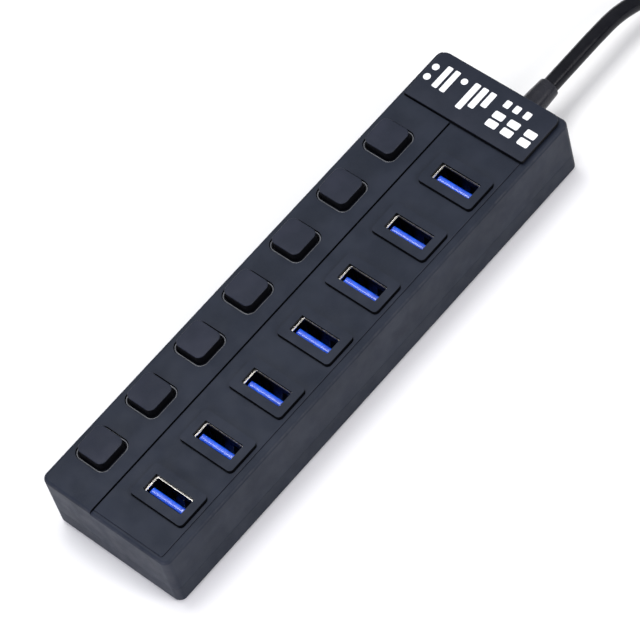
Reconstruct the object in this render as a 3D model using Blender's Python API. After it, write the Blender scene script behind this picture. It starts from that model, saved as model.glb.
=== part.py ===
"""A seven-port desktop USB hub with a push button beside each port.

The hub lies flat on its four feet. +X runs to the cable end, +Y to the button side and +Z up.
z = 0 is the surface it stands on. Every size is in metres.
"""

import math

import bmesh
import bpy
from mathutils import Matrix, Vector

MM = 0.001
GAP = 0.3 * MM

# Casing.
BODY_BOX = (-80.25 * MM, 81.05 * MM, -21.75 * MM, 21.75 * MM)
BODY_BOTTOM = 0.8 * MM
PARTING = 7.0 * MM
LEDGE_TOP = 20.6 * MM
PANEL_TOP = 21.0 * MM
SWITCH_TOP = 21.4 * MM
PAD_TOP = 21.85 * MM
CORNER_RADIUS = 2.2 * MM
EDGE_ROUND = 1.0 * MM
WALL = 1.5 * MM
CEILING = 18.6 * MM
FLOOR_TOP = 2.8 * MM
LIP_TOP = 8.6 * MM
LIP_WALL = 1.2 * MM
BOTTOM_ROUND = 0.7 * MM
STEP_Y = 4.4 * MM
PANEL_BOX = (-78.9 * MM, 64.0 * MM, -19.3 * MM, 5.0 * MM)

# Title plate, seated in a shallow recess at the cable end.
PLATE_BOX = (63.3 * MM, 80.0 * MM, -20.1 * MM, 20.3 * MM)
PLATE_TOP = 22.3 * MM
PLATE_CORNERS = (2.4 * MM, 0.6 * MM, 0.6 * MM, 2.4 * MM)

# Ports and buttons.
COUNT = 7
PITCH = 19.0 * MM
MIDDLE_X = -7.7 * MM
PORT_Y = -9.1 * MM
BUTTON_Y = 14.15 * MM
PAD_SIZE = (10.6 * MM, 17.8 * MM)
WINDOW_SIZE = (5.2 * MM, 13.0 * MM)
SHELL_INSIDE = (5.12 * MM, 12.5 * MM)
SHELL_SHEET = 0.3 * MM
SHELL_TOP = 20.8 * MM
TONGUE_TOP = 19.85 * MM
TONGUE_WIDTH = 11.4 * MM
BUTTON_HOLE = 11.35 * MM
FRAME_OUTSIDE = 10.95 * MM
FRAME_INSIDE = 9.65 * MM
FRAME_TOP = 21.0 * MM
CAP_SIZE = 9.25 * MM
CAP_TOP = 23.9 * MM
CAP_RADIUS = 2.0 * MM
SOCKET_TOP = 21.5 * MM
BUTTON_TRAVEL = 1.6 * MM

# Circuit board and what stands on it.
BOARD_SIZE = (152.4 * MM, 36.0 * MM)
BOARD_BOTTOM = 5.2 * MM
BOARD_TOP = 6.8 * MM
SEAT = BOARD_TOP + GAP
SWITCH_SIZE = 8.0 * MM
SWITCH_BODY_TOP = 12.6 * MM

# Screws and feet.
SCREW_X = 73.5 * MM
SCREW_Y = 14.0 * MM
BOSS_RADIUS = 2.8 * MM
FOOT_X = 60.0 * MM
FOOT_Y = 14.0 * MM
FOOT_RADIUS = 4.5 * MM

# Cable: it leaves the end wall, comes down to the surface and lies folded in a hank with its plug inside.
CABLE_DIAMETER = 4.8 * MM
CABLE_Y = -4.8 * MM
CABLE_Z = 11.0 * MM
RELIEF_END = 91.8 * MM
HANK_LEFT = 167.0 * MM
HANK_RIGHT = 242.0 * MM
HANK_OUTSIDE = 21.9 * MM
HANK_INSIDE = 12.0 * MM
HANK_Z = 3.3 * MM
PLUG_Y = 3.0 * MM
PLUG_Z = 4.1 * MM
PLUG_REAR = 203.0 * MM
PLUG_FRONT = 176.0 * MM
LEAD_ROUTE = [
    (74.0 * MM, CABLE_Y, CABLE_Z),
    (92.0 * MM, CABLE_Y, CABLE_Z),
    (101.0 * MM, CABLE_Y, CABLE_Z),
    (112.0 * MM, CABLE_Y, 10.9 * MM),
    (121.0 * MM, -4.9 * MM, 10.1 * MM),
    (130.0 * MM, -6.2 * MM, 8.0 * MM),
    (138.5 * MM, -9.1 * MM, 5.3 * MM),
    (145.6 * MM, -12.6 * MM, 3.6 * MM),
]
TAIL_ROUTE = [
    (227.0 * MM, 8.0 * MM, 3.6 * MM),
    (221.5 * MM, 5.2 * MM, 3.9 * MM),
    (216.0 * MM, 3.5 * MM, 4.0 * MM),
    (211.4 * MM, PLUG_Y, PLUG_Z),
]

MATERIALS = {
    "matte_black": ((0.030, 0.032, 0.036), 0.55, 0.0),
    "button_black": ((0.034, 0.036, 0.040), 0.50, 0.0),
    "frosted_guide": ((0.72, 0.74, 0.76), 0.45, 0.0),
    "port_steel": ((0.72, 0.72, 0.70), 0.28, 1.0),
    "port_blue": ((0.010, 0.110, 0.720), 0.40, 0.0),
    "board_green": ((0.020, 0.130, 0.060), 0.45, 0.0),
    "chip_black": ((0.020, 0.020, 0.022), 0.50, 0.0),
    "can_steel": ((0.65, 0.66, 0.67), 0.30, 1.0),
    "screw_steel": ((0.48, 0.48, 0.49), 0.35, 1.0),
    "foot_rubber": ((0.018, 0.018, 0.019), 0.85, 0.0),
    "cable_black": ((0.018, 0.018, 0.022), 0.45, 0.0),
}


def clear_scene():
    for obj in list(bpy.data.objects):
        bpy.data.objects.remove(obj, do_unlink=True)


def material(name):
    """The named material, made on first use."""
    found = bpy.data.materials.get(name)
    if found:
        return found
    colour, roughness, metallic = MATERIALS[name]
    made = bpy.data.materials.new(name)
    made.use_nodes = True
    shader = made.node_tree.nodes["Principled BSDF"]
    shader.inputs["Base Color"].default_value = (*colour, 1.0)
    shader.inputs["Roughness"].default_value = roughness
    shader.inputs["Metallic"].default_value = metallic
    return made


def finish_mesh(name, bm, finish, place=(0, 0, 0), smooth_angle=35):
    """Turns the bmesh into an object with its material, smooth across edges below smooth_angle."""
    bmesh.ops.recalc_face_normals(bm, faces=bm.faces)
    mesh = bpy.data.meshes.new(name)
    bm.to_mesh(mesh)
    bm.free()
    mesh.shade_smooth()
    mesh.set_sharp_from_angle(angle=math.radians(smooth_angle))
    if finish:
        mesh.materials.append(material(finish))
    obj = bpy.data.objects.new(name, mesh)
    obj.location = place
    bpy.context.scene.collection.objects.link(obj)
    return obj


def square_box(width, depth=None, centre=(0, 0)):
    """(x0, x1, y0, y1) of a rectangle round its centre."""
    depth = width if depth is None else depth
    return (centre[0] - width / 2, centre[0] + width / 2, centre[1] - depth / 2, centre[1] + depth / 2)


def inset(box, distance, sides=(1, 1, 1, 1)):
    """The box moved in by distance on each side that sides marks with 1."""
    x0, x1, y0, y1 = box
    return (
        x0 + distance * sides[0],
        x1 - distance * sides[1],
        y0 + distance * sides[2],
        y1 - distance * sides[3],
    )


def loop_points(box, radii, steps):
    """Points anticlockwise round a box whose corner radii go (+x+y, -x+y, -x-y, +x-y)."""
    x0, x1, y0, y1 = box
    signs = ((1, 1), (-1, 1), (-1, -1), (1, -1))
    points = []
    for quarter, ((sx, sy), radius) in enumerate(zip(signs, radii)):
        centre_x = (x1 if sx > 0 else x0) - sx * radius
        centre_y = (y1 if sy > 0 else y0) - sy * radius
        for step in range(steps + 1):
            angle = math.pi / 2 * (quarter + step / steps)
            points.append((centre_x + radius * math.cos(angle), centre_y + radius * math.sin(angle)))
    return points


def add_loft(bm, loops):
    """A closed solid through loops of equal length, each a list of 3-D points."""
    rings = [[bm.verts.new(point) for point in loop] for loop in loops]
    count = len(rings[0])
    for low, high in zip(rings, rings[1:]):
        for i in range(count):
            j = (i + 1) % count
            bm.faces.new((low[i], low[j], high[j], high[i]))
    bm.faces.new(list(reversed(rings[0])))
    bm.faces.new(rings[-1])


def add_block(
    bm, box, bottom, top, radius=0.1 * MM, steps=4, round_top=0.0, round_bottom=0.0, sides=(1, 1, 1, 1)
):
    """A rounded box. round_top and round_bottom fillet its horizontal edges on the sides marked 1."""
    radii = (radius,) * 4 if isinstance(radius, float) else radius
    levels = []
    for a in arc(round_bottom):
        levels.append((round_bottom * (1 - math.sin(a)), bottom + round_bottom * (1 - math.cos(a))))
    for a in arc(round_top):
        levels.append((round_top * (1 - math.cos(a)), top - round_top * (1 - math.sin(a))))
    loops = []
    for distance, height in levels:
        shrunk = [max(r - distance, 0.05 * MM) for r in radii]
        loops.append([(x, y, height) for x, y in loop_points(inset(box, distance, sides), shrunk, steps)])
    add_loft(bm, loops)


def arc(radius, steps=3):
    """The angles at which a fillet of this radius has a ring: one alone when there is no fillet."""
    if radius == 0:
        return [0.0]
    return [math.pi / 2 * step / steps for step in range(steps + 1)]


def add_tube(bm, outer, outer_radius, inner, inner_radius, bottom, top, steps=4):
    """An upright tube with a rounded rectangular section."""
    outside = loop_points(outer, (outer_radius,) * 4, steps)
    inside = loop_points(inner, (inner_radius,) * 4, steps)
    rings = [
        [bm.verts.new((x, y, z)) for x, y in points]
        for points, z in ((outside, bottom), (outside, top), (inside, top), (inside, bottom))
    ]
    count = len(outside)
    for here, there in zip(rings, rings[1:] + rings[:1]):
        for i in range(count):
            j = (i + 1) % count
            bm.faces.new((here[i], here[j], there[j], there[i]))


def add_turned(bm, profile, steps=32, closed=False, matrix=None):
    """Turns (radius, height) points round Z. An open profile gets flat caps, a closed one makes a ring."""
    rings = []
    for radius, height in profile:
        ring = []
        for step in range(steps):
            angle = 2 * math.pi * step / steps
            ring.append(bm.verts.new((radius * math.cos(angle), radius * math.sin(angle), height)))
        rings.append(ring)
    pairs = list(zip(rings, rings[1:]))
    if closed:
        pairs.append((rings[-1], rings[0]))
    for low, high in pairs:
        for i in range(steps):
            j = (i + 1) % steps
            bm.faces.new((low[i], low[j], high[j], high[i]))
    if not closed:
        bm.faces.new(list(reversed(rings[0])))
        bm.faces.new(rings[-1])
    if matrix:
        bmesh.ops.transform(bm, matrix=matrix, verts=[vert for ring in rings for vert in ring])


def along_x(start, centre_y, centre_z):
    """A matrix that lays the Z axis along +X from the point (start, centre_y, centre_z)."""
    return Matrix.Translation((start, centre_y, centre_z)) @ Matrix.Rotation(math.pi / 2, 4, "Y")


def add_cylinder(bm, radius, bottom, top, centre, steps=24):
    add_turned(bm, [(radius, bottom), (radius, top)], steps, matrix=Matrix.Translation((*centre, 0)))


def combine(target, name, bm, operation="DIFFERENCE"):
    """Cuts the bmesh out of the target, or joins it on, with a hidden helper at the target's place."""
    helper = finish_mesh(f"{target.name}_{name}", bm, None, target.location)
    helper.hide_render = True
    helper.display_type = "WIRE"
    modifier = target.modifiers.new(name, "BOOLEAN")
    modifier.operation = operation
    modifier.solver = "EXACT"
    modifier.object = helper


def row_x():
    """The x of each port and button, from the free end to the cable end."""
    return [MIDDLE_X + (i - (COUNT - 1) / 2) * PITCH for i in range(COUNT)]


def screw_places():
    return [(sx * SCREW_X, sy * SCREW_Y) for sx in (-1, 1) for sy in (-1, 1)]


def foot_places():
    return [(sx * FOOT_X, sy * FOOT_Y) for sx in (-1, 1) for sy in (-1, 1)]


def port_box(width, depth):
    """Gives the box of a rectangle centred on the port at x."""
    return lambda x: square_box(width, depth, (x, PORT_Y))


def button_box(width):
    """Gives the box of a square centred on the button at x."""
    return lambda x: square_box(width, centre=(x, BUTTON_Y))


def blocks(box_at, bottom, top, **settings):
    """One bmesh with a rounded box at each port or button."""
    bm = bmesh.new()
    for x in row_x():
        add_block(bm, box_at(x), bottom, top, **settings)
    return bm


def make_top_cover():
    bm = bmesh.new()
    add_block(bm, BODY_BOX, PARTING, LEDGE_TOP, CORNER_RADIUS, round_top=EDGE_ROUND)
    cover = finish_mesh("top_cover", bm, "matte_black")

    bm = bmesh.new()
    sharp = 0.1 * MM
    x0, x1, _, y1 = BODY_BOX
    add_block(
        bm,
        (x0, x1, STEP_Y, y1),
        CEILING - 1.0 * MM,
        SWITCH_TOP,
        (CORNER_RADIUS, CORNER_RADIUS, sharp, sharp),
        round_top=EDGE_ROUND,
        sides=(1, 1, 0, 1),
    )
    combine(cover, "switch_side", bm, "UNION")

    bm = bmesh.new()
    add_block(bm, PANEL_BOX, CEILING + 0.2 * MM, PANEL_TOP, 0.6 * MM, steps=2)
    combine(cover, "port_panel", bm, "UNION")

    pads = blocks(port_box(*PAD_SIZE), CEILING + 0.4 * MM, PAD_TOP, radius=1.1 * MM, steps=3)
    combine(cover, "port_pads", pads, "UNION")

    bm = bmesh.new()
    near, _, right, left = inset(PLATE_BOX, -GAP)
    corner = PLATE_CORNERS[1] + GAP
    recess = (near, BODY_BOX[1] + corner, right, left)
    add_block(bm, recess, LEDGE_TOP, PLATE_TOP + 1.0 * MM, corner)
    combine(cover, "plate_recess", bm)

    bm = bmesh.new()
    add_block(bm, inset(BODY_BOX, WALL), PARTING - 1.0 * MM, CEILING, CORNER_RADIUS - WALL, steps=3)
    combine(cover, "inside", bm)

    below = CEILING - 1.0 * MM
    windows = blocks(port_box(*WINDOW_SIZE), below, PAD_TOP + 1.0 * MM, steps=1)
    combine(cover, "port_windows", windows)

    clearance = SHELL_SHEET + GAP
    pocket = [side + 2 * clearance for side in SHELL_INSIDE]
    recesses = blocks(port_box(*pocket), below, SHELL_TOP + GAP, radius=0.9 * MM, steps=2)
    combine(cover, "shell_recesses", recesses)

    holes = blocks(button_box(BUTTON_HOLE), below, SWITCH_TOP + 1.0 * MM, radius=2.6 * MM)
    combine(cover, "button_holes", holes)

    bm = bmesh.new()
    for place in screw_places():
        add_cylinder(bm, BOSS_RADIUS, 4.7 * MM, CEILING + 0.5 * MM, place)
    combine(cover, "screw_bosses", bm, "UNION")

    bm = bmesh.new()
    for place in screw_places():
        add_cylinder(bm, 1.3 * MM, 4.0 * MM, 13.0 * MM, place, 16)
    combine(cover, "screw_holes", bm)

    bm = bmesh.new()
    hole = 3.7 * MM
    through = [(hole, 0), (hole, 2 * WALL + 1.0 * MM)]
    add_turned(bm, through, matrix=along_x(BODY_BOX[1] - 2 * WALL, CABLE_Y, CABLE_Z))
    combine(cover, "cable_hole", bm)
    return cover


def make_bottom_cover():
    rim = inset(BODY_BOX, WALL + GAP)
    bm = bmesh.new()
    loops = []
    for distance, height in (
        (BOTTOM_ROUND, BODY_BOTTOM),
        (0.3 * BOTTOM_ROUND, BODY_BOTTOM + 0.3 * BOTTOM_ROUND),
        (0.0, BODY_BOTTOM + BOTTOM_ROUND),
        (0.0, PARTING - GAP),
    ):
        radius = CORNER_RADIUS - distance
        loops.append([(x, y, height) for x, y in loop_points(inset(BODY_BOX, distance), (radius,) * 4, 4)])
    add_loft(bm, loops)
    cover = finish_mesh("bottom_cover", bm, "matte_black")

    bm = bmesh.new()
    add_block(bm, rim, PARTING - 1.5 * MM, LIP_TOP, CORNER_RADIUS - WALL - GAP, steps=3)
    combine(cover, "lip", bm, "UNION")

    bm = bmesh.new()
    add_block(bm, inset(rim, LIP_WALL), FLOOR_TOP, LIP_TOP + 1.0 * MM, 0.4 * MM, steps=2)
    combine(cover, "inside", bm)

    collar_half = 5.2 * MM
    bm = bmesh.new()
    collar_notch = (75.0 * MM, BODY_BOX[1] - WALL, CABLE_Y - collar_half, CABLE_Y + collar_half)
    add_block(bm, collar_notch, CABLE_Z - collar_half, LIP_TOP + 1.0 * MM, steps=1)
    combine(cover, "collar_notch", bm)

    bm = bmesh.new()
    for place in screw_places():
        add_cylinder(bm, 2.9 * MM, FLOOR_TOP - 0.5 * MM, 4.4 * MM, place)
    for x in (-48.0 * MM, 0.0, 48.0 * MM):
        for y in (-16.6 * MM, 16.6 * MM):
            add_cylinder(bm, 1.2 * MM, FLOOR_TOP - 0.5 * MM, BOARD_BOTTOM - GAP, (x, y), 12)
    under_ports = (row_x()[0] - 6.0 * MM, row_x()[-1] + 6.0 * MM, PORT_Y - 0.6 * MM, PORT_Y + 0.6 * MM)
    add_block(bm, under_ports, FLOOR_TOP - 0.5 * MM, BOARD_BOTTOM - GAP, steps=1)
    combine(cover, "posts", bm, "UNION")

    bm = bmesh.new()
    for place in screw_places():
        add_cylinder(bm, 1.5 * MM, 0.0, 6.0 * MM, place, 16)
    combine(cover, "screw_holes", bm)

    bm = bmesh.new()
    for place in screw_places():
        add_cylinder(bm, 2.3 * MM, 0.0, 2.6 * MM, place)
    for place in foot_places():
        add_cylinder(bm, FOOT_RADIUS + GAP, 0.0, BODY_BOTTOM + 0.6 * MM, place, 32)
    combine(cover, "recesses_below", bm)
    return cover


def make_title_plate():
    bm = bmesh.new()
    add_block(bm, PLATE_BOX, LEDGE_TOP + GAP, PLATE_TOP, PLATE_CORNERS, round_top=0.25 * MM)
    finish_mesh("title_plate", bm, "matte_black")


def make_light_guide():
    """One frosted moulding: a long strip under the cover with a frame that rises round each button."""
    first, last = row_x()[0], row_x()[-1]
    strip_top = CEILING - GAP
    bm = bmesh.new()
    margin = 5.65 * MM
    strip = (first - margin, last + margin, BUTTON_Y - 6.5 * MM, BODY_BOX[3] - WALL - GAP)
    add_block(bm, strip, strip_top - 2.0 * MM, strip_top, 1.0 * MM, steps=2)
    guide = finish_mesh("light_guide", bm, "frosted_guide")
    frames = blocks(button_box(FRAME_OUTSIDE), strip_top - 1.0 * MM, FRAME_TOP, radius=2.4 * MM)
    combine(guide, "frames", frames, "UNION")
    openings = blocks(button_box(FRAME_INSIDE), strip_top - 3.0 * MM, FRAME_TOP + 1.0 * MM, radius=1.9 * MM)
    combine(guide, "openings", openings)


def make_button_cap(number, x):
    """A hollow push cap with a socket that grips the switch's plunger, made round its own axis."""
    flange_bottom = 14.9 * MM
    bm = bmesh.new()
    add_block(bm, square_box(CAP_SIZE), flange_bottom, CAP_TOP, CAP_RADIUS, round_top=0.5 * MM)
    cap = finish_mesh(f"button_cap_{number}", bm, "button_black", (x, BUTTON_Y, 0))
    bm = bmesh.new()
    add_block(bm, square_box(10.6 * MM), flange_bottom, flange_bottom + 1.0 * MM, CAP_RADIUS)
    combine(cap, "flange", bm, "UNION")
    bm = bmesh.new()
    hollow_top = CAP_TOP - 1.5 * MM
    boss = square_box(4.7 * MM)
    add_tube(bm, square_box(7.0 * MM), 1.0 * MM, boss, 0.3 * MM, flange_bottom - 1.0 * MM, hollow_top, 2)
    combine(cap, "hollow", bm)
    bm = bmesh.new()
    add_block(bm, square_box(3.3 * MM), flange_bottom - 1.0 * MM, SOCKET_TOP, steps=1)
    combine(cap, "socket", bm)
    bm = bmesh.new()
    add_block(bm, square_box(5.2 * MM), flange_bottom - 1.0 * MM, 16.0 * MM, steps=1)
    combine(cap, "socket_end", bm)


def make_switch(number, x):
    """A latching switch: a block with a well, and the square plunger that slides in it."""
    well_floor = SEAT + 0.4 * MM
    bm = bmesh.new()
    add_block(bm, square_box(SWITCH_SIZE), SEAT, SWITCH_BODY_TOP, 0.4 * MM, steps=1)
    body = finish_mesh(f"switch_body_{number}", bm, "chip_black", (x, BUTTON_Y, 0))
    bm = bmesh.new()
    add_block(bm, square_box(4.0 * MM), well_floor, SWITCH_BODY_TOP + 1.0 * MM, steps=1)
    combine(body, "well", bm)

    stem, tip = 3.4 * MM, 2.7 * MM
    shoulder = 15.6 * MM
    bottom = well_floor + BUTTON_TRAVEL + GAP
    bm = bmesh.new()
    loops = []
    for width, height in ((stem, bottom), (stem, shoulder), (tip, shoulder), (tip, SOCKET_TOP - GAP)):
        loops.append([(px, py, height) for px, py in loop_points(square_box(width), (0.2 * MM,) * 4, 1)])
    add_loft(bm, loops)
    finish_mesh(f"switch_plunger_{number}", bm, "button_black", (x, BUTTON_Y, 0))


def make_port_shell(number, x):
    """The folded steel sleeve of one port, with four spring openings in its wide walls."""
    width, depth = SHELL_INSIDE
    bm = bmesh.new()
    add_tube(
        bm,
        square_box(width + 2 * SHELL_SHEET, depth + 2 * SHELL_SHEET),
        0.7 * MM,
        square_box(width, depth),
        0.4 * MM,
        SEAT,
        SHELL_TOP,
        3,
    )
    shell = finish_mesh(f"port_shell_{number}", bm, "port_steel", (x, PORT_Y, 0))
    bm = bmesh.new()
    for y in (-3.1 * MM, 3.1 * MM):
        add_block(bm, square_box(8.0 * MM, 2.2 * MM, (0, y)), 12.5 * MM, 17.6 * MM, steps=1)
    combine(shell, "spring_openings", bm)


def make_port_insert(number, x):
    """The blue moulding of one port: the base in the sleeve's foot, and the tongue for the contacts."""
    half = TONGUE_WIDTH / 2
    chamfer = 0.3 * MM
    tongue_x0 = -1.80 * MM
    tongue_x1 = 0.04 * MM
    base_half = 2.2 * MM
    base_top = 9.8 * MM
    outline = [
        (-base_half, SEAT),
        (base_half, SEAT),
        (base_half, base_top),
        (tongue_x1, base_top),
        (tongue_x1, TONGUE_TOP - chamfer),
        (tongue_x1 - chamfer, TONGUE_TOP),
        (tongue_x0 + chamfer, TONGUE_TOP),
        (tongue_x0, TONGUE_TOP - chamfer),
        (tongue_x0, base_top),
        (-base_half, base_top),
    ]
    bm = bmesh.new()
    add_loft(bm, [[(px, y, pz) for px, pz in outline] for y in (-half, half)])
    finish_mesh(f"port_insert_{number}", bm, "port_blue", (x, PORT_Y, 0))


def make_circuit_board():
    """A board whose corners are notched to clear the screw bosses."""
    half_x, half_y = BOARD_SIZE[0] / 2, BOARD_SIZE[1] / 2
    notch_x, notch_y = 69.8 * MM, 10.4 * MM
    outline = []
    for sx, sy in ((1, 1), (-1, 1), (-1, -1), (1, -1)):
        corner = [(half_x, notch_y), (notch_x, notch_y), (notch_x, half_y)]
        if sx * sy < 0:
            corner.reverse()
        outline += [(sx * px, sy * py) for px, py in corner]
    bm = bmesh.new()
    add_loft(bm, [[(px, py, z) for px, py in outline] for z in (BOARD_BOTTOM, BOARD_TOP)])
    finish_mesh("circuit_board", bm, "board_green")


def make_board_parts():
    middle_y = 4.0 * MM
    for number, x in ((1, -17.2 * MM), (2, 30.0 * MM)):
        bm = bmesh.new()
        add_block(bm, square_box(9.0 * MM), SEAT, SEAT + 0.9 * MM, 0.2 * MM, steps=1)
        finish_mesh(f"hub_chip_{number}", bm, "chip_black", (x, middle_y, 0))
    bm = bmesh.new()
    add_block(bm, square_box(10.6 * MM, 4.4 * MM), SEAT, SEAT + 3.5 * MM, 2.1 * MM, round_top=0.5 * MM)
    finish_mesh("crystal", bm, "can_steel", (6.0 * MM, middle_y, 0))
    bm = bmesh.new()
    can = 3.15 * MM
    add_turned(bm, [(can, SEAT), (can, SEAT + 7.2 * MM), (can - 0.5 * MM, SEAT + 7.7 * MM)], 24)
    finish_mesh("capacitor", bm, "can_steel", (64.0 * MM, 4.6 * MM, 0))


def make_screw(number, place):
    """A pan-head screw with a cross recess, head down under the bottom cover."""
    head_low, head_high, tip = 1.2 * MM, 2.4 * MM, 11.0 * MM
    profile = [
        (1.5 * MM, head_low),
        (2.0 * MM, head_low + 0.35 * MM),
        (2.0 * MM, head_high),
        (1.1 * MM, head_high),
        (1.1 * MM, tip - 1.0 * MM),
        (0.3 * MM, tip),
    ]
    bm = bmesh.new()
    add_turned(bm, profile, 20)
    screw = finish_mesh(f"screw_{number}", bm, "screw_steel", (*place, 0))
    long, narrow = 2.2 * MM, 0.55 * MM
    for name, box in (("slot_x", square_box(long, narrow)), ("slot_y", square_box(narrow, long))):
        bm = bmesh.new()
        add_block(bm, box, 0.0, head_low + 0.8 * MM, 0.05 * MM, steps=1)
        combine(screw, name, bm)


def make_foot(number, place):
    bm = bmesh.new()
    profile = [
        (FOOT_RADIUS - 0.3 * MM, 0.0),
        (FOOT_RADIUS, 0.3 * MM),
        (FOOT_RADIUS, BODY_BOTTOM + 0.3 * MM),
    ]
    add_turned(bm, profile, 32)
    finish_mesh(f"foot_{number}", bm, "foot_rubber", (*place, 0))


def make_strain_relief():
    """A rubber sleeve with a collar inside the end wall, tapering along the cable outside it."""
    wall_inside = BODY_BOX[1] - WALL
    bore = CABLE_DIAMETER / 2 + GAP
    length = RELIEF_END - wall_inside
    profile = [
        (bore, -2.0 * MM),
        (4.6 * MM, -2.0 * MM),
        (4.6 * MM, -GAP),
        (3.4 * MM, -GAP),
        (3.4 * MM, length * 0.5),
        (3.15 * MM, length - 0.5 * MM),
        (2.95 * MM, length),
        (bore, length),
    ]
    bm = bmesh.new()
    add_turned(bm, profile, closed=True, matrix=along_x(wall_inside, CABLE_Y, CABLE_Z))
    finish_mesh("strain_relief", bm, "cable_black")


def smooth_route(points, spacing):
    """Points about spacing apart on a smooth curve through the given ones."""
    points = [Vector(point) for point in points]
    padded = [2 * points[0] - points[1], *points, 2 * points[-1] - points[-2]]
    made = []
    for before, start, end, after in zip(padded, padded[1:], padded[2:], padded[3:]):
        count = max(1, round((end - start).length / spacing))
        for step in range(count):
            t = step / count
            made.append(
                0.5 * (
                    2 * start
                    + (end - before) * t
                    + (2 * before - 5 * start + 4 * end - after) * t**2
                    + (3 * start - before - 3 * end + after) * t**3
                )
            )
    return [*made, points[-1]]


def make_cable(name, route):
    curve = bpy.data.curves.new(name, "CURVE")
    curve.dimensions = "3D"
    curve.bevel_depth = CABLE_DIAMETER / 2
    curve.bevel_resolution = 3
    curve.use_fill_caps = True
    points = smooth_route(route, 2 * CABLE_DIAMETER)
    spline = curve.splines.new("POLY")
    spline.points.add(len(points) - 1)
    for target, point in zip(spline.points, points):
        target.co = (*point, 1.0)
    curve.materials.append(material("cable_black"))
    obj = bpy.data.objects.new(name, curve)
    bpy.context.scene.collection.objects.link(obj)


def make_hank():
    """The folded cable's outer shape: a flat ring with straight sides, round the plug."""
    half = CABLE_DIAMETER / 2
    outside = (HANK_LEFT - HANK_OUTSIDE, HANK_RIGHT + HANK_OUTSIDE, -HANK_OUTSIDE, HANK_OUTSIDE)
    inside = (HANK_LEFT - HANK_INSIDE, HANK_RIGHT + HANK_INSIDE, -HANK_INSIDE, HANK_INSIDE)
    bm = bmesh.new()
    add_tube(bm, outside, HANK_OUTSIDE, inside, HANK_INSIDE, HANK_Z - half, HANK_Z + half, 10)
    finish_mesh("cable_hank", bm, "cable_black")


def make_cable_tie():
    """A flat band round the two lengths of cable on one side of the hank."""
    low, high = 0.1 * MM, 6.6 * MM
    y0, y1 = -HANK_OUTSIDE - 1.0 * MM, -HANK_INSIDE + 1.0 * MM
    band = 0.6 * MM
    half_width = 2.5 * MM
    middle_x = (HANK_LEFT + HANK_RIGHT) / 2
    outside = (y0, y1, low, high)
    bm = bmesh.new()
    add_tube(bm, outside, 1.6 * MM, inset(outside, band), 1.0 * MM, -half_width, half_width)
    stand = Matrix(((0, 0, 1, middle_x), (1, 0, 0, 0), (0, 1, 0, 0), (0, 0, 0, 1)))
    bmesh.ops.transform(bm, matrix=stand, verts=bm.verts)
    finish_mesh("cable_tie", bm, "cable_black")


def lay_plug(bm):
    """Turns a solid made upright, its front at the top, to lie along -X at the plug's place."""
    lay = Matrix(((0, 0, -1, 0), (0, 1, 0, PLUG_Y), (1, 0, 0, PLUG_Z), (0, 0, 0, 1)))
    bmesh.ops.transform(bm, matrix=lay, verts=bm.verts)


def make_plug():
    front, rear = -PLUG_FRONT, -PLUG_REAR
    grip = square_box(7.8 * MM, 15.6 * MM)
    bm = bmesh.new()
    add_block(bm, grip, rear, front, 1.8 * MM, round_top=0.6 * MM, round_bottom=1.2 * MM)
    lay_plug(bm)
    housing = finish_mesh("plug_housing", bm, "cable_black")

    bm = bmesh.new()
    collar = 3.4 * MM
    add_turned(bm, [(3.0 * MM, rear - 8.0 * MM), (collar, rear - 4.0 * MM), (collar, rear + 2.0 * MM)], 24)
    lay_plug(bm)
    combine(housing, "collar", bm, "UNION")

    outer_thick, outer_wide, sheet = 4.5 * MM, 12.0 * MM, 0.3 * MM
    seat_depth = 5.0 * MM
    outside = square_box(outer_thick, outer_wide)
    bm = bmesh.new()
    add_block(bm, inset(outside, -GAP), front - seat_depth, front + 1.0 * MM, 0.6 * MM, steps=2)
    lay_plug(bm)
    combine(housing, "shell_seat", bm)

    shell_low, shell_high = front - seat_depth + GAP, front + 12.0 * MM
    bm = bmesh.new()
    add_tube(bm, outside, 0.5 * MM, inset(outside, sheet), 0.25 * MM, shell_low, shell_high, 2)
    lay_plug(bm)
    shell = finish_mesh("plug_shell", bm, "port_steel")

    bm = bmesh.new()
    for y in (-3.0 * MM, 3.0 * MM):
        add_block(bm, square_box(8.0 * MM, 2.3 * MM, (0, y)), front + 5.6 * MM, front + 7.9 * MM, steps=1)
    lay_plug(bm)
    combine(shell, "latch_windows", bm)

    bm = bmesh.new()
    inside_half = outer_thick / 2 - sheet - GAP
    slab = (-inside_half, 0.0, -5.3 * MM, 5.3 * MM)
    add_block(bm, slab, shell_low + 0.5 * MM, shell_high - 0.4 * MM, steps=1)
    lay_plug(bm)
    finish_mesh("plug_insert", bm, "port_blue")


def main():
    clear_scene()
    make_top_cover()
    make_bottom_cover()
    make_title_plate()
    make_light_guide()
    make_circuit_board()
    make_board_parts()
    for number, x in enumerate(row_x(), start=1):
        make_button_cap(number, x)
        make_switch(number, x)
        make_port_shell(number, x)
        make_port_insert(number, x)
    for number, place in enumerate(screw_places(), start=1):
        make_screw(number, place)
    for number, place in enumerate(foot_places(), start=1):
        make_foot(number, place)
    make_strain_relief()
    make_cable("cable_lead", LEAD_ROUTE)
    make_hank()
    make_cable("cable_tail", TAIL_ROUTE)
    make_cable_tie()
    make_plug()


main()
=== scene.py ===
"""Looks of the seven-port USB hub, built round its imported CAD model.

+X runs to the cable end, +Y to the button side, +Z up, and z = 0 is the surface that the hub stands on.
Every size is in metres.
"""

import math

import bmesh
import bpy
from mathutils import Matrix, Vector


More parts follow.
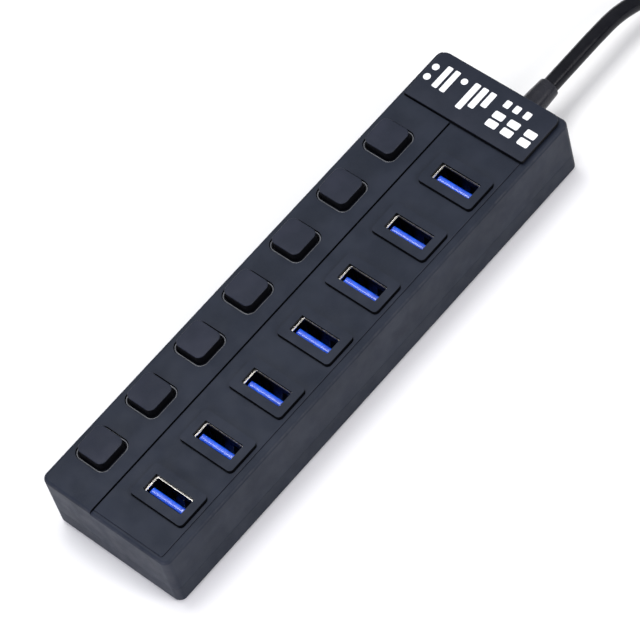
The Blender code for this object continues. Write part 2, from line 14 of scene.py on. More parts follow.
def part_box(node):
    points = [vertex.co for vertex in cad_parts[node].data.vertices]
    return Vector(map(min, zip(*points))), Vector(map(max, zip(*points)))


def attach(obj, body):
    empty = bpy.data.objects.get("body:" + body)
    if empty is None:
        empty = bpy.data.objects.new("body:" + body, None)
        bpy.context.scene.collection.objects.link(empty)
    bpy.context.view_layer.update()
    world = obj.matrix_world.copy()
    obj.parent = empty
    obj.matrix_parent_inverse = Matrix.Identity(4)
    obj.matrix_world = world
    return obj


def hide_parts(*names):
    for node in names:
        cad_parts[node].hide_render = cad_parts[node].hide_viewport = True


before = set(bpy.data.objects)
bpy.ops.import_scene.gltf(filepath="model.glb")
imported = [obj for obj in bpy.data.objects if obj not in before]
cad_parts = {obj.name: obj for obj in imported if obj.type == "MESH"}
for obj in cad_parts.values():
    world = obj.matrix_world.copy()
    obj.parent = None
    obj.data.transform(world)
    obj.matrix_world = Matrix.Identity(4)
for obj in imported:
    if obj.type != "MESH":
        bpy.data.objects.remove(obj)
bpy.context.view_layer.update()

MM = 0.001
GAP = 0.3 * MM
COUNT = 7

# Casing, as in the CAD model. THROUGH is how far a cutter runs past the face that it opens.
PARTING = 7.0 * MM
LEDGE_TOP = 20.6 * MM
PANEL_TOP = 21.0 * MM
SWITCH_TOP = 21.4 * MM
PAD_TOP = 21.85 * MM
CORNER_RADIUS = 2.2 * MM
EDGE_ROUND = 1.0 * MM
WALL = 1.5 * MM
CEILING = 18.6 * MM
FLOOR_TOP = 2.8 * MM
LIP_TOP = 8.6 * MM
LIP_WALL = 1.2 * MM
BOTTOM_ROUND = 0.7 * MM
SEAM = 0.08 * MM
STEP_Y = 4.4 * MM
PANEL_BOX = (-78.9 * MM, 64.0 * MM, -19.3 * MM, 5.0 * MM)
PLATE_CORNERS = (2.4 * MM, 0.6 * MM, 0.6 * MM, 2.4 * MM)
PAD_SIZE = (10.6 * MM, 17.8 * MM)
WINDOW_SIZE = (5.2 * MM, 13.0 * MM)
SHELL_TOP = 20.8 * MM
SHELL_SHEET = 0.3 * MM
BUTTON_HOLE = 11.35 * MM
SCREW_X = 73.5 * MM
SCREW_Y = 14.0 * MM
FOOT_X = 60.0 * MM
FOOT_Y = 14.0 * MM
BOARD_BOTTOM = 5.2 * MM
SHARP = 0.1 * MM
PAD_RADIUS = 1.1 * MM
PANEL_ROUND = 0.28 * MM
GROOVE = 0.34 * MM
GROOVE_DEPTH = 0.45 * MM
THROUGH = 1.0 * MM
WELD = 0.002 * MM
SMOOTH_ANGLE = math.radians(35)
SOFTEN_ANGLE = math.radians(40)

# Cable.
CABLE_DIAMETER = 4.8 * MM
CABLE_EXIT = (91.8 * MM, -4.8 * MM, 11.0 * MM)
LEAD_ROUTE = [
    (92.0 * MM, -4.8 * MM, 11.0 * MM),
    (101.0 * MM, -4.8 * MM, 11.0 * MM),
    (112.0 * MM, -4.8 * MM, 10.9 * MM),
    (121.0 * MM, -4.9 * MM, 10.1 * MM),
    (130.0 * MM, -6.2 * MM, 8.0 * MM),
    (138.5 * MM, -9.1 * MM, 5.3 * MM),
    (145.6 * MM, -12.6 * MM, 3.6 * MM),
    (153.5 * MM, -16.2 * MM, 2.8 * MM),
    (161.0 * MM, -18.6 * MM, 2.6 * MM),
]
HANK_LEFT = 167.0 * MM
HANK_RIGHT = 242.0 * MM
LANE_OUT = 19.4 * MM
LANE_IN = 14.5 * MM
TIE_X = 204.5 * MM
TAIL_ROUTE = [
    (227.0 * MM, 8.0 * MM, 3.2 * MM),
    (221.5 * MM, 5.2 * MM, 3.6 * MM),
    (216.0 * MM, 3.5 * MM, 3.95 * MM),
    (211.4 * MM, 3.0 * MM, 4.1 * MM),
]

# ---------------------------------------------------------------- materials


RUBBED_BLACK = (0.030, 0.032, 0.040)
# Painted shade, nearly black, for the upright walls of raised parts.
PAINTED_WALL_SHADE = (0.0010, 0.0012, 0.0020)
# Painted shade for the steel deep inside the sockets, below their mouths.
PAINTED_SOCKET_SHADE = (0.030, 0.032, 0.040)


class Nodes:
    """Builds one material's node tree."""

    def __init__(self, name, colour, roughness, metallic=0.0, specular=0.5):
        self.material = bpy.data.materials.new(name)
        self.material.use_nodes = True
        self.tree = self.material.node_tree
        self.shader = self.tree.nodes["Principled BSDF"]
        self.set(self.shader, "Base Color", (*colour, 1.0))
        self.set(self.shader, "Roughness", roughness)
        self.set(self.shader, "Metallic", metallic)
        self.set(self.shader, "Specular IOR Level", specular)
        self.place = self.tree.nodes.new("ShaderNodeTexCoord").outputs["Object"]

    def set(self, node, socket, value):
        node.inputs[socket].default_value = value

    def link(self, output, node, socket):
        self.tree.links.new(output, node.inputs[socket])

    def stretched(self, scale):
        """Object coordinates with a scale for each axis."""
        node = self.tree.nodes.new("ShaderNodeMapping")
        self.link(self.place, node, "Vector")
        self.set(node, "Scale", scale)
        return node.outputs["Vector"]

    def noise(self, size, detail=2.0, rough=0.5, place=None):
        """Noise whose features are about size metres across."""
        node = self.tree.nodes.new("ShaderNodeTexNoise")
        self.link(place or self.place, node, "Vector")
        self.set(node, "Scale", 1.0 / size)
        self.set(node, "Detail", detail)
        self.set(node, "Roughness", rough)
        return node.outputs["Fac"]

    def cells(self, size, feature="F1", randomness=1.0):
        node = self.tree.nodes.new("ShaderNodeTexVoronoi")
        node.feature = feature
        self.link(self.place, node, "Vector")
        self.set(node, "Scale", 1.0 / size)
        self.set(node, "Randomness", randomness)
        return node.outputs["Distance"]

    def patches(self, size, low=0.0, high=1.0, detail=2.0):
        """Soft patches about size metres across, whose values run from low to high."""
        return self.spread(self.noise(size, detail), 0.3, 0.7, low, high)

    def spread(self, value, low, high, to_low=0.0, to_high=1.0):
        """value from low..high to to_low..to_high, smoothly and clamped."""
        node = self.tree.nodes.new("ShaderNodeMapRange")
        node.interpolation_type = "SMOOTHSTEP"
        self.link(value, node, "Value")
        self.set(node, "From Min", low)
        self.set(node, "From Max", high)
        self.set(node, "To Min", to_low)
        self.set(node, "To Max", to_high)
        return node.outputs["Result"]

    def math(self, operation, first, second=None):
        node = self.tree.nodes.new("ShaderNodeMath")
        node.operation = operation
        for index, value in enumerate((first, second)):
            if value is None:
                continue
            if isinstance(value, (int, float)):
                node.inputs[index].default_value = value
            else:
                self.tree.links.new(value, node.inputs[index])
        return node.outputs["Value"]

    def mix(self, factor, dark, light):
        """A colour between two, each a colour or an output."""
        node = self.tree.nodes.new("ShaderNodeMix")
        node.data_type = "RGBA"
        self.tree.links.new(factor, node.inputs[0])
        for index, value in ((6, dark), (7, light)):
            if isinstance(value, tuple):
                node.inputs[index].default_value = (*value, 1.0)
            else:
                self.tree.links.new(value, node.inputs[index])
        return node.outputs[2]

    def split(self, vector):
        node = self.tree.nodes.new("ShaderNodeSeparateXYZ")
        self.link(vector, node, "Vector")
        return node.outputs

    def normal(self):
        """The X, Y and Z of the way that the surface faces."""
        return self.split(self.tree.nodes.new("ShaderNodeNewGeometry").outputs["Normal"])

    def edges(self):
        """1 on rounded edges, 0 on faces square to an axis."""
        facing = self.normal()
        sides = [self.math("ABSOLUTE", facing[axis]) for axis in "XYZ"]
        largest = self.math("MAXIMUM", self.math("MAXIMUM", sides[0], sides[1]), sides[2])
        return self.spread(self.math("SUBTRACT", 1.0, largest), 0.02, 0.22)

    def upright(self):
        """1 on upright walls, 0 on faces that lean by more than about 27 degrees."""
        return self.spread(self.math("ABSOLUTE", self.normal()["Z"]), 0.15, 0.45, 1.0, 0.0)

    def height(self):
        return self.split(self.place)["Z"]

    def bump(self, *layers):
        """Stacks (height output, strength, distance) bumps onto the shader."""
        normal = None
        for height, strength, distance in layers:
            node = self.tree.nodes.new("ShaderNodeBump")
            self.set(node, "Strength", strength)
            self.set(node, "Distance", distance)
            self.link(height, node, "Height")
            if normal:
                self.link(normal, node, "Normal")
            normal = node.outputs["Normal"]
        self.link(normal, self.shader, "Normal")

    def colour(self, output):
        self.link(output, self.shader, "Base Color")

    def roughness(self, output):
        self.link(output, self.shader, "Roughness")


def moulded_black(name, dark, light, rough, grain=0.22 * MM, shade_walls_above=None):
    """Spark-eroded black plastic: a fine grain, faint mottling, and edges rubbed a little smoother.

    Upright walls above the given height carry painted shade: they are made nearly black, as the shade on
    them, which makes the raised parts stand out.
    """
    n = Nodes(name, dark, rough, specular=0.15)
    mottling = n.spread(n.noise(9.0 * MM, 3.0), 0.35, 0.68)
    speck = n.spread(n.noise(0.5 * MM, 2.0), 0.3, 0.75)
    grained = n.mix(n.math("MULTIPLY", speck, 0.35), n.mix(mottling, dark, light), light)
    rubbed = n.math("MULTIPLY", n.edges(), n.spread(n.noise(2.5 * MM, 3.0), 0.35, 0.7, 0.12, 0.5))
    finish = n.mix(rubbed, grained, RUBBED_BLACK)
    # Painted shade: upright walls above the given height are made nearly black.
    if shade_walls_above:
        raised = n.spread(n.height(), shade_walls_above, shade_walls_above + 0.1 * MM)
        finish = n.mix(n.math("MULTIPLY", n.upright(), raised), finish, PAINTED_WALL_SHADE)
    n.colour(finish)
    matt = n.patches(4.0 * MM, rough - 0.04, rough + 0.05, 3.0)
    n.roughness(n.math("SUBTRACT", matt, n.math("MULTIPLY", rubbed, 0.16)))
    n.bump((n.cells(grain), 0.35, 0.02 * MM), (n.noise(0.9 * MM, 2.0), 0.12, 0.05 * MM))
    return n.material


def frosted_plastic():
    n = Nodes("frosted_plastic", (0.10, 0.105, 0.12), 0.42, specular=0.3)
    n.set(n.shader, "Subsurface Weight", 0.25)
    n.set(n.shader, "Subsurface Radius", (1.2 * MM,) * 3)
    cloud = n.patches(3.0 * MM, detail=3.0)
    n.colour(n.mix(cloud, (0.088, 0.093, 0.108), (0.125, 0.130, 0.145)))
    n.roughness(n.patches(1.0 * MM, 0.34, 0.50))
    n.bump((n.noise(0.3 * MM, 2.0), 0.2, 0.02 * MM))
    return n.material


def plated_steel(name, dark, light, rough, along="Z", shade_below=None):
    """Rolled and plated sheet, finely streaked along one axis, with painted shade below a given height."""
    n = Nodes(name, light, rough, 1.0)
    fine, long = 1.0 / (0.07 * MM), 1.0 / (3.0 * MM)
    scale = {"X": (long, fine, fine), "Y": (fine, long, fine), "Z": (fine, fine, long)}[along]
    streaks = n.noise(1.0, 3.0, 0.6, n.stretched(scale))
    tarnish = n.spread(n.noise(2.4 * MM, 4.0, 0.6), 0.38, 0.72)
    metal = n.mix(n.math("MULTIPLY", tarnish, 0.7), light, dark)
    # Painted shade: under the given height the steel turns dark grey, as the shade deep in a socket.
    if shade_below:
        clear = n.spread(n.height(), shade_below - 0.5 * MM, shade_below)
        metal = n.mix(clear, PAINTED_SOCKET_SHADE, metal)
    n.colour(metal)
    n.roughness(n.spread(streaks, 0.3, 0.7, rough - 0.06, rough + 0.10))
    n.bump((streaks, 0.06, 0.01 * MM))
    return n.material


def moulded_blue():
    n = Nodes("moulded_blue", (0.003, 0.070, 0.640), 0.20, specular=1.0)
    cloud = n.patches(2.0 * MM, detail=3.0)
    n.colour(n.mix(cloud, (0.002, 0.055, 0.560), (0.006, 0.100, 0.760)))
    n.roughness(n.patches(2.5 * MM, 0.17, 0.23))
    n.bump((n.noise(1.2 * MM, 2.0), 0.05, 0.01 * MM))
    return n.material


def gold_plate():
    n = Nodes("gold_plate", (0.86, 0.60, 0.24), 0.26, 1.0)
    wear = n.spread(n.noise(0.8 * MM, 3.0), 0.45, 0.75)
    n.colour(n.mix(wear, (0.88, 0.62, 0.26), (0.72, 0.52, 0.26)))
    n.roughness(n.patches(0.2 * MM, 0.20, 0.34))
    n.bump((n.noise(0.15 * MM, 2.0), 0.1, 0.005 * MM))
    return n.material


def printed_white():
    """Pad-printed ink, slightly broken where it lies on the grain."""
    n = Nodes("printed_white", (0.78, 0.79, 0.80), 0.5)
    thin = n.spread(n.noise(0.35 * MM, 3.0), 0.58, 0.72)
    n.colour(n.mix(n.math("MULTIPLY", thin, 0.35), (0.80, 0.81, 0.82), (0.42, 0.43, 0.45)))
    n.roughness(n.patches(1.2 * MM, 0.42, 0.58))
    n.bump((n.cells(0.22 * MM), 0.2, 0.01 * MM))
    return n.material


def cable_jacket(name, colour, light, rough, specular=0.5):
    """Extruded soft vinyl: nearly smooth, with a faint haze and long slow waves."""
    n = Nodes(name, colour, rough, specular=specular)
    haze = n.spread(n.noise(5.0 * MM, 3.0), 0.35, 0.7)
    n.colour(n.mix(haze, colour, light))
    n.roughness(n.patches(1.5 * MM, rough - 0.05, rough + 0.07, 3.0))
    n.bump((n.noise(0.16 * MM, 2.0), 0.15, 0.01 * MM), (n.noise(6.0 * MM), 0.2, 0.1 * MM))
    return n.material


def foot_rubber():
    n = Nodes("foot_rubber", (0.020, 0.020, 0.021), 0.85)
    dust = n.spread(n.noise(1.1 * MM, 4.0, 0.6), 0.5, 0.75)
    n.colour(n.mix(n.math("MULTIPLY", dust, 0.5), (0.018, 0.018, 0.019), (0.055, 0.054, 0.052)))
    n.roughness(n.patches(2.0 * MM, 0.74, 0.92))
    n.bump((n.cells(0.3 * MM), 0.5, 0.03 * MM))
    return n.material


def screw_steel():
    n = Nodes("screw_steel", (0.30, 0.30, 0.31), 0.36, 1.0)
    stain = n.spread(n.noise(0.8 * MM, 4.0, 0.6), 0.4, 0.75)
    n.colour(n.mix(stain, (0.32, 0.32, 0.33), (0.17, 0.165, 0.16)))
    n.roughness(n.patches(0.4 * MM, 0.28, 0.46))
    n.bump((n.noise(0.12 * MM, 2.0), 0.25, 0.01 * MM))
    return n.material


def board_mask():
    """Green solder mask, lighter along the copper tracks under it."""
    n = Nodes("board_mask", (0.012, 0.090, 0.040), 0.34)
    tracks = n.cells(2.6 * MM, "DISTANCE_TO_EDGE", 0.35)
    line = n.spread(tracks, 0.05, 0.08, 1.0, 0.0)
    weave = n.patches(6.0 * MM)
    base = n.mix(weave, (0.010, 0.078, 0.034), (0.014, 0.104, 0.046))
    n.colour(n.mix(line, base, (0.030, 0.190, 0.080)))
    n.roughness(n.patches(1.0 * MM, 0.28, 0.40))
    n.bump((line, 0.3, 0.02 * MM), (n.noise(0.3 * MM), 0.1, 0.01 * MM))
    return n.material


def chip_epoxy():
    n = Nodes("chip_epoxy", (0.020, 0.020, 0.022), 0.55)
    speck = n.spread(n.noise(0.25 * MM, 3.0), 0.45, 0.7)
    n.colour(n.mix(speck, (0.016, 0.016, 0.018), (0.034, 0.034, 0.036)))
    n.roughness(n.patches(0.8 * MM, 0.48, 0.62))
    n.bump((n.cells(0.12 * MM), 0.4, 0.01 * MM))
    return n.material


def tie_weave():
    """A narrow woven hook-and-loop band."""
    n = Nodes("tie_weave", (0.020, 0.020, 0.022), 0.85)
    n.set(n.shader, "Sheen Weight", 0.35)
    ribs = n.cells(0.45 * MM, randomness=0.25)
    fuzz = n.noise(0.2 * MM, 3.0)
    n.colour(n.mix(n.spread(ribs, 0.1, 0.6), (0.040, 0.040, 0.043), (0.012, 0.012, 0.013)))
    n.roughness(n.spread(fuzz, 0.3, 0.7, 0.78, 0.95))
    n.bump((ribs, 0.8, 0.08 * MM), (fuzz, 0.4, 0.03 * MM))
    return n.material


# Cover, plate and caps carry painted shade on their upright walls above the ledge.
COVER = moulded_black(
    "cover_plastic", (0.0088, 0.0125, 0.0225), (0.0145, 0.0188, 0.0310), 0.50, shade_walls_above=LEDGE_TOP - SHARP
)
PLATE = moulded_black(
    "plate_plastic", (0.0095, 0.0130, 0.0230), (0.0140, 0.0175, 0.0290), 0.48, 0.16 * MM, LEDGE_TOP
)
CAP = moulded_black(
    "cap_plastic", (0.0108, 0.0140, 0.0245), (0.0170, 0.0200, 0.0335), 0.50, shade_walls_above=LEDGE_TOP
)
BASE = moulded_black("base_plastic", (0.0090, 0.0125, 0.0220), (0.0150, 0.0190, 0.0300), 0.52)
GUIDE = frosted_plastic()
# The sockets' steel gets painted shade below its mouth.
STEEL = plated_steel(
    "port_plating", (0.58, 0.56, 0.52), (0.92, 0.89, 0.82), 0.30, shade_below=SHELL_TOP - 0.5 * MM
)
PLUG_STEEL = plated_steel("plug_plating", (0.42, 0.41, 0.39), (0.80, 0.79, 0.76), 0.26, along="X")
BLUE = moulded_blue()
GOLD = gold_plate()
INK = printed_white()
JACKET = cable_jacket("cable_jacket", (0.0030, 0.0032, 0.0055), (0.0055, 0.0058, 0.0085), 0.20, 0.14)
SLEEVE = cable_jacket("sleeve_rubber", (0.0110, 0.0115, 0.0165), (0.0165, 0.0170, 0.0230), 0.24, 0.24)
GRIP = cable_jacket("grip_rubber", (0.0150, 0.0150, 0.0180), (0.0240, 0.0240, 0.0280), 0.48)
FOOT = foot_rubber()
SCREW = screw_steel()
BOARD = board_mask()
EPOXY = chip_epoxy()
CAN = plated_steel("can_plating", (0.46, 0.46, 0.47), (0.70, 0.71, 0.72), 0.28)
TIN = plated_steel("tin_plating", (0.50, 0.50, 0.51), (0.76, 0.76, 0.77), 0.30)
WEAVE = tie_weave()

# ---------------------------------------------------------------- shapes


LEAST_RADIUS = 0.04 * MM


def arc_steps(radius, steps):
    """The angles of a quarter turn, or one only where there is no radius to turn round."""
    if radius == 0:
        return [0.0]
    return [math.pi / 2 * step / steps for step in range(steps + 1)]


def square_box(width, depth=None, centre=(0, 0)):
    """(x0, x1, y0, y1) of a rectangle round its centre."""
    depth = width if depth is None else depth
    return (centre[0] - width / 2, centre[0] + width / 2, centre[1] - depth / 2, centre[1] + depth / 2)


def inset(box, distance, sides=(1, 1, 1, 1)):
    """A box drawn in by distance times the factor of each side (-X, +X, -Y, +Y)."""
    x0, x1, y0, y1 = box
    return (
        x0 + distance * sides[0],
        x1 - distance * sides[1],
        y0 + distance * sides[2],
        y1 - distance * sides[3],
    )


def loop_points(box, radii, steps):
    """Points anticlockwise round a box whose corner radii go (+x+y, -x+y, -x-y, +x-y)."""
    x0, x1, y0, y1 = box
    signs = ((1, 1), (-1, 1), (-1, -1), (1, -1))
    points = []
    for quarter, ((sx, sy), radius) in enumerate(zip(signs, radii)):
        centre_x = (x1 if sx > 0 else x0) - sx * radius
        centre_y = (y1 if sy > 0 else y0) - sy * radius
        for step in range(steps + 1):
            angle = math.pi / 2 * (quarter + step / steps)
            points.append((centre_x + radius * math.cos(angle), centre_y + radius * math.sin(angle)))
    return points


def add_loft(bm, loops):
    """A closed solid through loops of equal length, each a list of 3-D points."""
    rings = [[bm.verts.new(point) for point in loop] for loop in loops]
    count = len(rings[0])
    for low, high in zip(rings, rings[1:]):
        for i in range(count):
            j = (i + 1) % count
            bm.faces.new((low[i], low[j], high[j], high[i]))
    bm.faces.new(list(reversed(rings[0])))
    bm.faces.new(rings[-1])


def add_block(
    bm, box, bottom, top, radius=SHARP, steps=8, round_top=0.0, round_bottom=0.0, sides=(1, 1, 1, 1), curve=5
):
    """A rounded box. round_top and round_bottom fillet its horizontal edges on the sides marked 1."""
    radii = (radius,) * 4 if isinstance(radius, float) else radius
    levels = []
    for angle in arc_steps(round_bottom, curve):
        rise = round_bottom * (1 - math.cos(angle))
        levels.append((round_bottom * (1 - math.sin(angle)), bottom + rise))
    for angle in arc_steps(round_top, curve):
        drop = round_top * (1 - math.sin(angle))
        levels.append((round_top * (1 - math.cos(angle)), top - drop))
    loops = []
    for distance, height in levels:
        shrunk = [max(corner - distance, LEAST_RADIUS) for corner in radii]
        loops.append([(x, y, height) for x, y in loop_points(inset(box, distance, sides), shrunk, steps)])
    add_loft(bm, loops)


def add_tube(bm, outer, outer_radius, inner, inner_radius, bottom, top, steps=6, lip=0.0):
    """An upright tube with a rounded rectangular section. lip rounds over both edges of its top."""
    outside = loop_points(outer, (outer_radius,) * 4, steps)
    inside = loop_points(inner, (inner_radius,) * 4, steps)
    path = [(0.0, bottom), (0.0, top - lip)]
    if lip:
        path += [(0.15, top - lip * 0.4), (0.35, top), (0.65, top), (0.85, top - lip * 0.4)]
    path += [(1.0, top - lip), (1.0, bottom)]
    rings = []
    for share, z in path:
        ring = []
        for (ox, oy), (ix, iy) in zip(outside, inside):
            ring.append(bm.verts.new((ox + (ix - ox) * share, oy + (iy - oy) * share, z)))
        rings.append(ring)
    count = len(outside)
    for here, there in zip(rings, rings[1:] + rings[:1]):
        for i in range(count):
            j = (i + 1) % count
            bm.faces.new((here[i], here[j], there[j], there[i]))


def add_turned(bm, profile, steps=64, closed=False, matrix=None):
    """Turns (radius, height) points round Z: an open profile gets flat caps, a closed one is a ring."""
    rings = []
    for radius, height in profile:
        ring = []
        for step in range(steps):
            angle = 2 * math.pi * step / steps
            ring.append(bm.verts.new((radius * math.cos(angle), radius * math.sin(angle), height)))
        rings.append(ring)
    pairs = list(zip(rings, rings[1:]))
    if closed:
        pairs.append((rings[-1], rings[0]))
    for low, high in pairs:
        for i in range(steps):
            j = (i + 1) % steps
            bm.faces.new((low[i], low[j], high[j], high[i]))
    if not closed:
        bm.faces.new(list(reversed(rings[0])))
        bm.faces.new(rings[-1])
    if matrix:
        bmesh.ops.transform(bm, matrix=matrix, verts=[vert for ring in rings for vert in ring])


def add_cylinder(bm, radius, bottom, top, centre, steps=48):
    add_turned(bm, [(radius, bottom), (radius, top)], steps, matrix=Matrix.Translation((*centre, 0)))


def add_strip(bm, line, half_width, thickness):
    """A sheet strip that follows (x, z) points and is 2 * half_width wide along Y."""
    outline = []
    count = len(line)
    for side in (1, -1):
        for i in range(count)[::side]:
            before, after = line[max(i - 1, 0)], line[min(i + 1, count - 1)]
            along = Vector((after[0] - before[0], after[1] - before[1])).normalized()
            across = Vector((-along.y, along.x)) * thickness / 2 * side
            outline.append((line[i][0] + across.x, line[i][1] + across.y))
    add_loft(bm, [[(px, y, pz) for px, pz in outline] for y in (-half_width, half_width)])


def along_x(start, centre_y, centre_z):
    """A matrix that lays the Z axis along +X from the point (start, centre_y, centre_z)."""
    return Matrix.Translation((start, centre_y, centre_z)) @ Matrix.Rotation(math.pi / 2, 4, "Y")


def plain_object(name, bm):
    bmesh.ops.recalc_face_normals(bm, faces=bm.faces)
    mesh = bpy.data.meshes.new(name)
    bm.to_mesh(mesh)
    bm.free()
    mesh.shade_smooth()
    mesh.set_sharp_from_angle(angle=SMOOTH_ANGLE)
    obj = bpy.data.objects.new(name, mesh)
    bpy.context.scene.collection.objects.link(obj)
    return obj


def piece(name, bm, finish):
    """An object of the visual model that rides on the root body."""
    obj = plain_object(name, bm)
    obj.data.materials.append(finish)
    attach(obj, "root")
    return obj


def soften_edges(obj, width, segments=2):
    bevel = obj.modifiers.new("soften", "BEVEL")
    bevel.width = width
    bevel.segments = segments
    bevel.limit_method = "ANGLE"
    bevel.angle_limit = SOFTEN_ANGLE
    return bevel


class Solid:
    """A shape put together by cutting and joining, then softened along its sharp edges."""

    def __init__(self, name, bm):
        self.name = name
        self.base = plain_object(name + "_base", bm)
        self.helpers = []

    def combine(self, bm, operation):
        helper = plain_object(f"{self.name}_{len(self.helpers)}", bm)
        self.helpers.append(helper)
        modifier = self.base.modifiers.new(f"step_{len(self.helpers)}", "BOOLEAN")
        modifier.operation = operation
        modifier.solver = "EXACT"
        modifier.object = helper

    def join(self, bm):
        self.combine(bm, "UNION")

    def cut(self, bm):
        self.combine(bm, "DIFFERENCE")

    def soften(self, width, segments=2):
        bevel = soften_edges(self.base, width, segments)
        bevel.use_clamp_overlap = True
        bevel.miter_outer = "MITER_ARC"

    def settle(self, finish, body="root"):
        """The finished piece, with its steps worked out and its helpers gone."""
        graph = bpy.context.evaluated_depsgraph_get()
        mesh = bpy.data.meshes.new_from_object(self.base.evaluated_get(graph))
        mesh.name = self.name
        bm = bmesh.new()
        bm.from_mesh(mesh)
        bmesh.ops.remove_doubles(bm, verts=bm.verts, dist=WELD)
        bm.to_mesh(mesh)
        bm.free()
        mesh.shade_smooth()
        mesh.set_sharp_from_angle(angle=SMOOTH_ANGLE)
        mesh.materials.clear()
        mesh.materials.append(finish)
        obj = bpy.data.objects.new(self.name, mesh)
        bpy.context.scene.collection.objects.link(obj)
        normals = obj.modifiers.new("even_normals", "WEIGHTED_NORMAL")
        normals.keep_sharp = True
        for helper in [self.base, *self.helpers]:
            bpy.data.objects.remove(helper, do_unlink=True)
        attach(obj, body)
        return obj


def blocks(boxes, bottom, top, **settings):
    bm = bmesh.new()
    for box in boxes:
        add_block(bm, box, bottom, top, **settings)
    return bm


def block(box, bottom, top, **settings):
    return blocks([box], bottom, top, **settings)


def cylinders(radius, bottom, top, places, steps=48):
    bm = bmesh.new()
    for place in places:
        add_cylinder(bm, radius, bottom, top, place, steps)
    return bm


def middle_of(node):
    low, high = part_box(node)
    return (low + high) / 2


def box_of(node):
    """(x0, x1, y0, y1) of a CAD node."""
    low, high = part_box(node)
    return (low.x, high.x, low.y, high.y)


NUMBERS = range(1, COUNT + 1)
PORTS = [middle_of(f"port_shell_{number}").xy for number in NUMBERS]
BUTTONS = [middle_of(f"button_cap_{number}").xy for number in NUMBERS]
SCREWS = [(sx * SCREW_X, sy * SCREW_Y) for sx in (-1, 1) for sy in (-1, 1)]
FEET = [(sx * FOOT_X, sy * FOOT_Y) for sx in (-1, 1) for sy in (-1, 1)]
OUTLINE = box_of("top_cover")
PLATE_BOX = box_of("title_plate")
PLATE_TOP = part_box("title_plate")[1].z


def port_boxes(size):
    return [square_box(*size, port) for port in PORTS]


def button_boxes(width):
    return [square_box(width, centre=button) for button in BUTTONS]


# ---------------------------------------------------------------- camera and cable


def make_camera():
    """A long lens above the free end on the port side, rolled so that the hub runs up to the right."""
    camera = bpy.data.objects.new("camera", bpy.data.cameras.new("camera"))
    bpy.context.scene.collection.objects.link(camera)
    camera.data.sensor_width = 36.0
    camera.data.lens = 205.24
    camera.data.clip_start = 0.05
    camera.data.clip_end = 10.0
    target = Vector((-3.33 * MM, -6.95 * MM, PANEL_TOP))
    distance = 933.83 * MM
    azimuth, elevation, roll = (math.radians(angle) for angle in (-34.015, 55.970, 18.259))
    back = Vector(
        (
            math.sin(azimuth) * math.cos(elevation),
            -math.cos(azimuth) * math.cos(elevation),
            math.sin(elevation),
        )
    )
    level_right = Vector((math.cos(azimuth), math.sin(azimuth), 0.0))
    level_up = level_right.cross(-back)
    up = math.cos(roll) * level_up + math.sin(roll) * level_right
    right = (-back).cross(up)
    place = target + back * distance
    turn = Matrix((right, up, back)).transposed().to_4x4()
    camera.matrix_world = Matrix.Translation(place) @ turn
    bpy.context.scene.camera = camera


def smooth_route(points, spacing):
    """Points about spacing apart on a smooth curve through the given ones."""
    points = [Vector(point) for point in points]
    padded = [2 * points[0] - points[1], *points, 2 * points[-1] - points[-2]]
    made = []
    for before, start, end, after in zip(padded, padded[1:], padded[2:], padded[3:]):
        count = max(1, round((end - start).length / spacing))
        for step in range(count):
            t = step / count
            made.append(
                0.5 * (
                    2 * start
                    + (end - before) * t
                    + (2 * before - 5 * start + 4 * end - after) * t**2
                    + (3 * start - before - 3 * end + after) * t**3
                )
            )
    return [*made, points[-1]]


def ease(share):
    share = min(max(share, 0.0), 1.0)
    return share * share * (3 - 2 * share)


def lying_height(x):
    """The cable lies on the surface, and on the tie's band where that goes under it."""
    lift = 1 - ease((abs(x - TIE_X) - 3.0 * MM) / (16.0 * MM))
    return CABLE_DIAMETER / 2 + 0.15 * MM + 0.75 * MM * lift


def cable_points():
    """The cable's line: down from the casing, one and a half turns of the hank, and in to the plug."""
    route = list(LEAD_ROUTE)

    def lane(xs, y):
        route.extend((x * MM, y, lying_height(x * MM)) for x in xs)

    def bend(centre_x, first, last, radius_at, step=15):
        turn = 1 if last > first else -1
        for degrees in range(first + turn * step, last, turn * step):
            angle, radius = math.radians(degrees), radius_at(degrees)
            route.append(
                (centre_x + radius * math.cos(angle), radius * math.sin(angle), lying_height(centre_x))
            )

    lane((168, 180, 192, 204.5, 217, 229, 242), -LANE_OUT)
    bend(HANK_RIGHT, -90, 90, lambda degrees: LANE_OUT)
    lane((242, 229, 217, 204.5, 192, 180, 167), LANE_OUT)
    bend(HANK_LEFT, 90, 270, lambda degrees: LANE_OUT + (LANE_IN - LANE_OUT) * ease((degrees - 90) / 140))
    lane((167, 180, 192, 204.5, 217, 229, 242), -LANE_IN)
    bend(HANK_RIGHT, -90, 90, lambda degrees: LANE_IN)
    route.append((242.0 * MM, LANE_IN, 2.6 * MM))
    route.append((234.5 * MM, 12.6 * MM, 2.8 * MM))
    route.extend(TAIL_ROUTE)
    return smooth_route(route, 1.5 * MM)


def line_length(points):
    return sum((b - a).length for a, b in zip(points, points[1:]))


def make_cable():
    points = cable_points()
    curve = bpy.data.curves.new("usb_cable", "CURVE")
    curve.dimensions = "3D"
    curve.bevel_depth = CABLE_DIAMETER / 2
    curve.bevel_resolution = 7
    curve.use_fill_caps = True
    spline = curve.splines.new("POLY")
    spline.points.add(len(points) - 1)
    for target, point in zip(spline.points, points):
        target.co = (*point, 1.0)
    curve.materials.append(JACKET)
    cable = bpy.data.objects.new("usb_cable", curve)
    bpy.context.scene.collection.objects.link(cable)
    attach(cable, "root")
    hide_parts("cable_lead", "cable_hank", "cable_tail")
    return cable, line_length(points)


# ---------------------------------------------------------------- casing


def shell_size():
    """The extent of a port shell along X and Y."""
    low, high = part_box("port_shell_1")
    return (high.x - low.x, high.y - low.y)


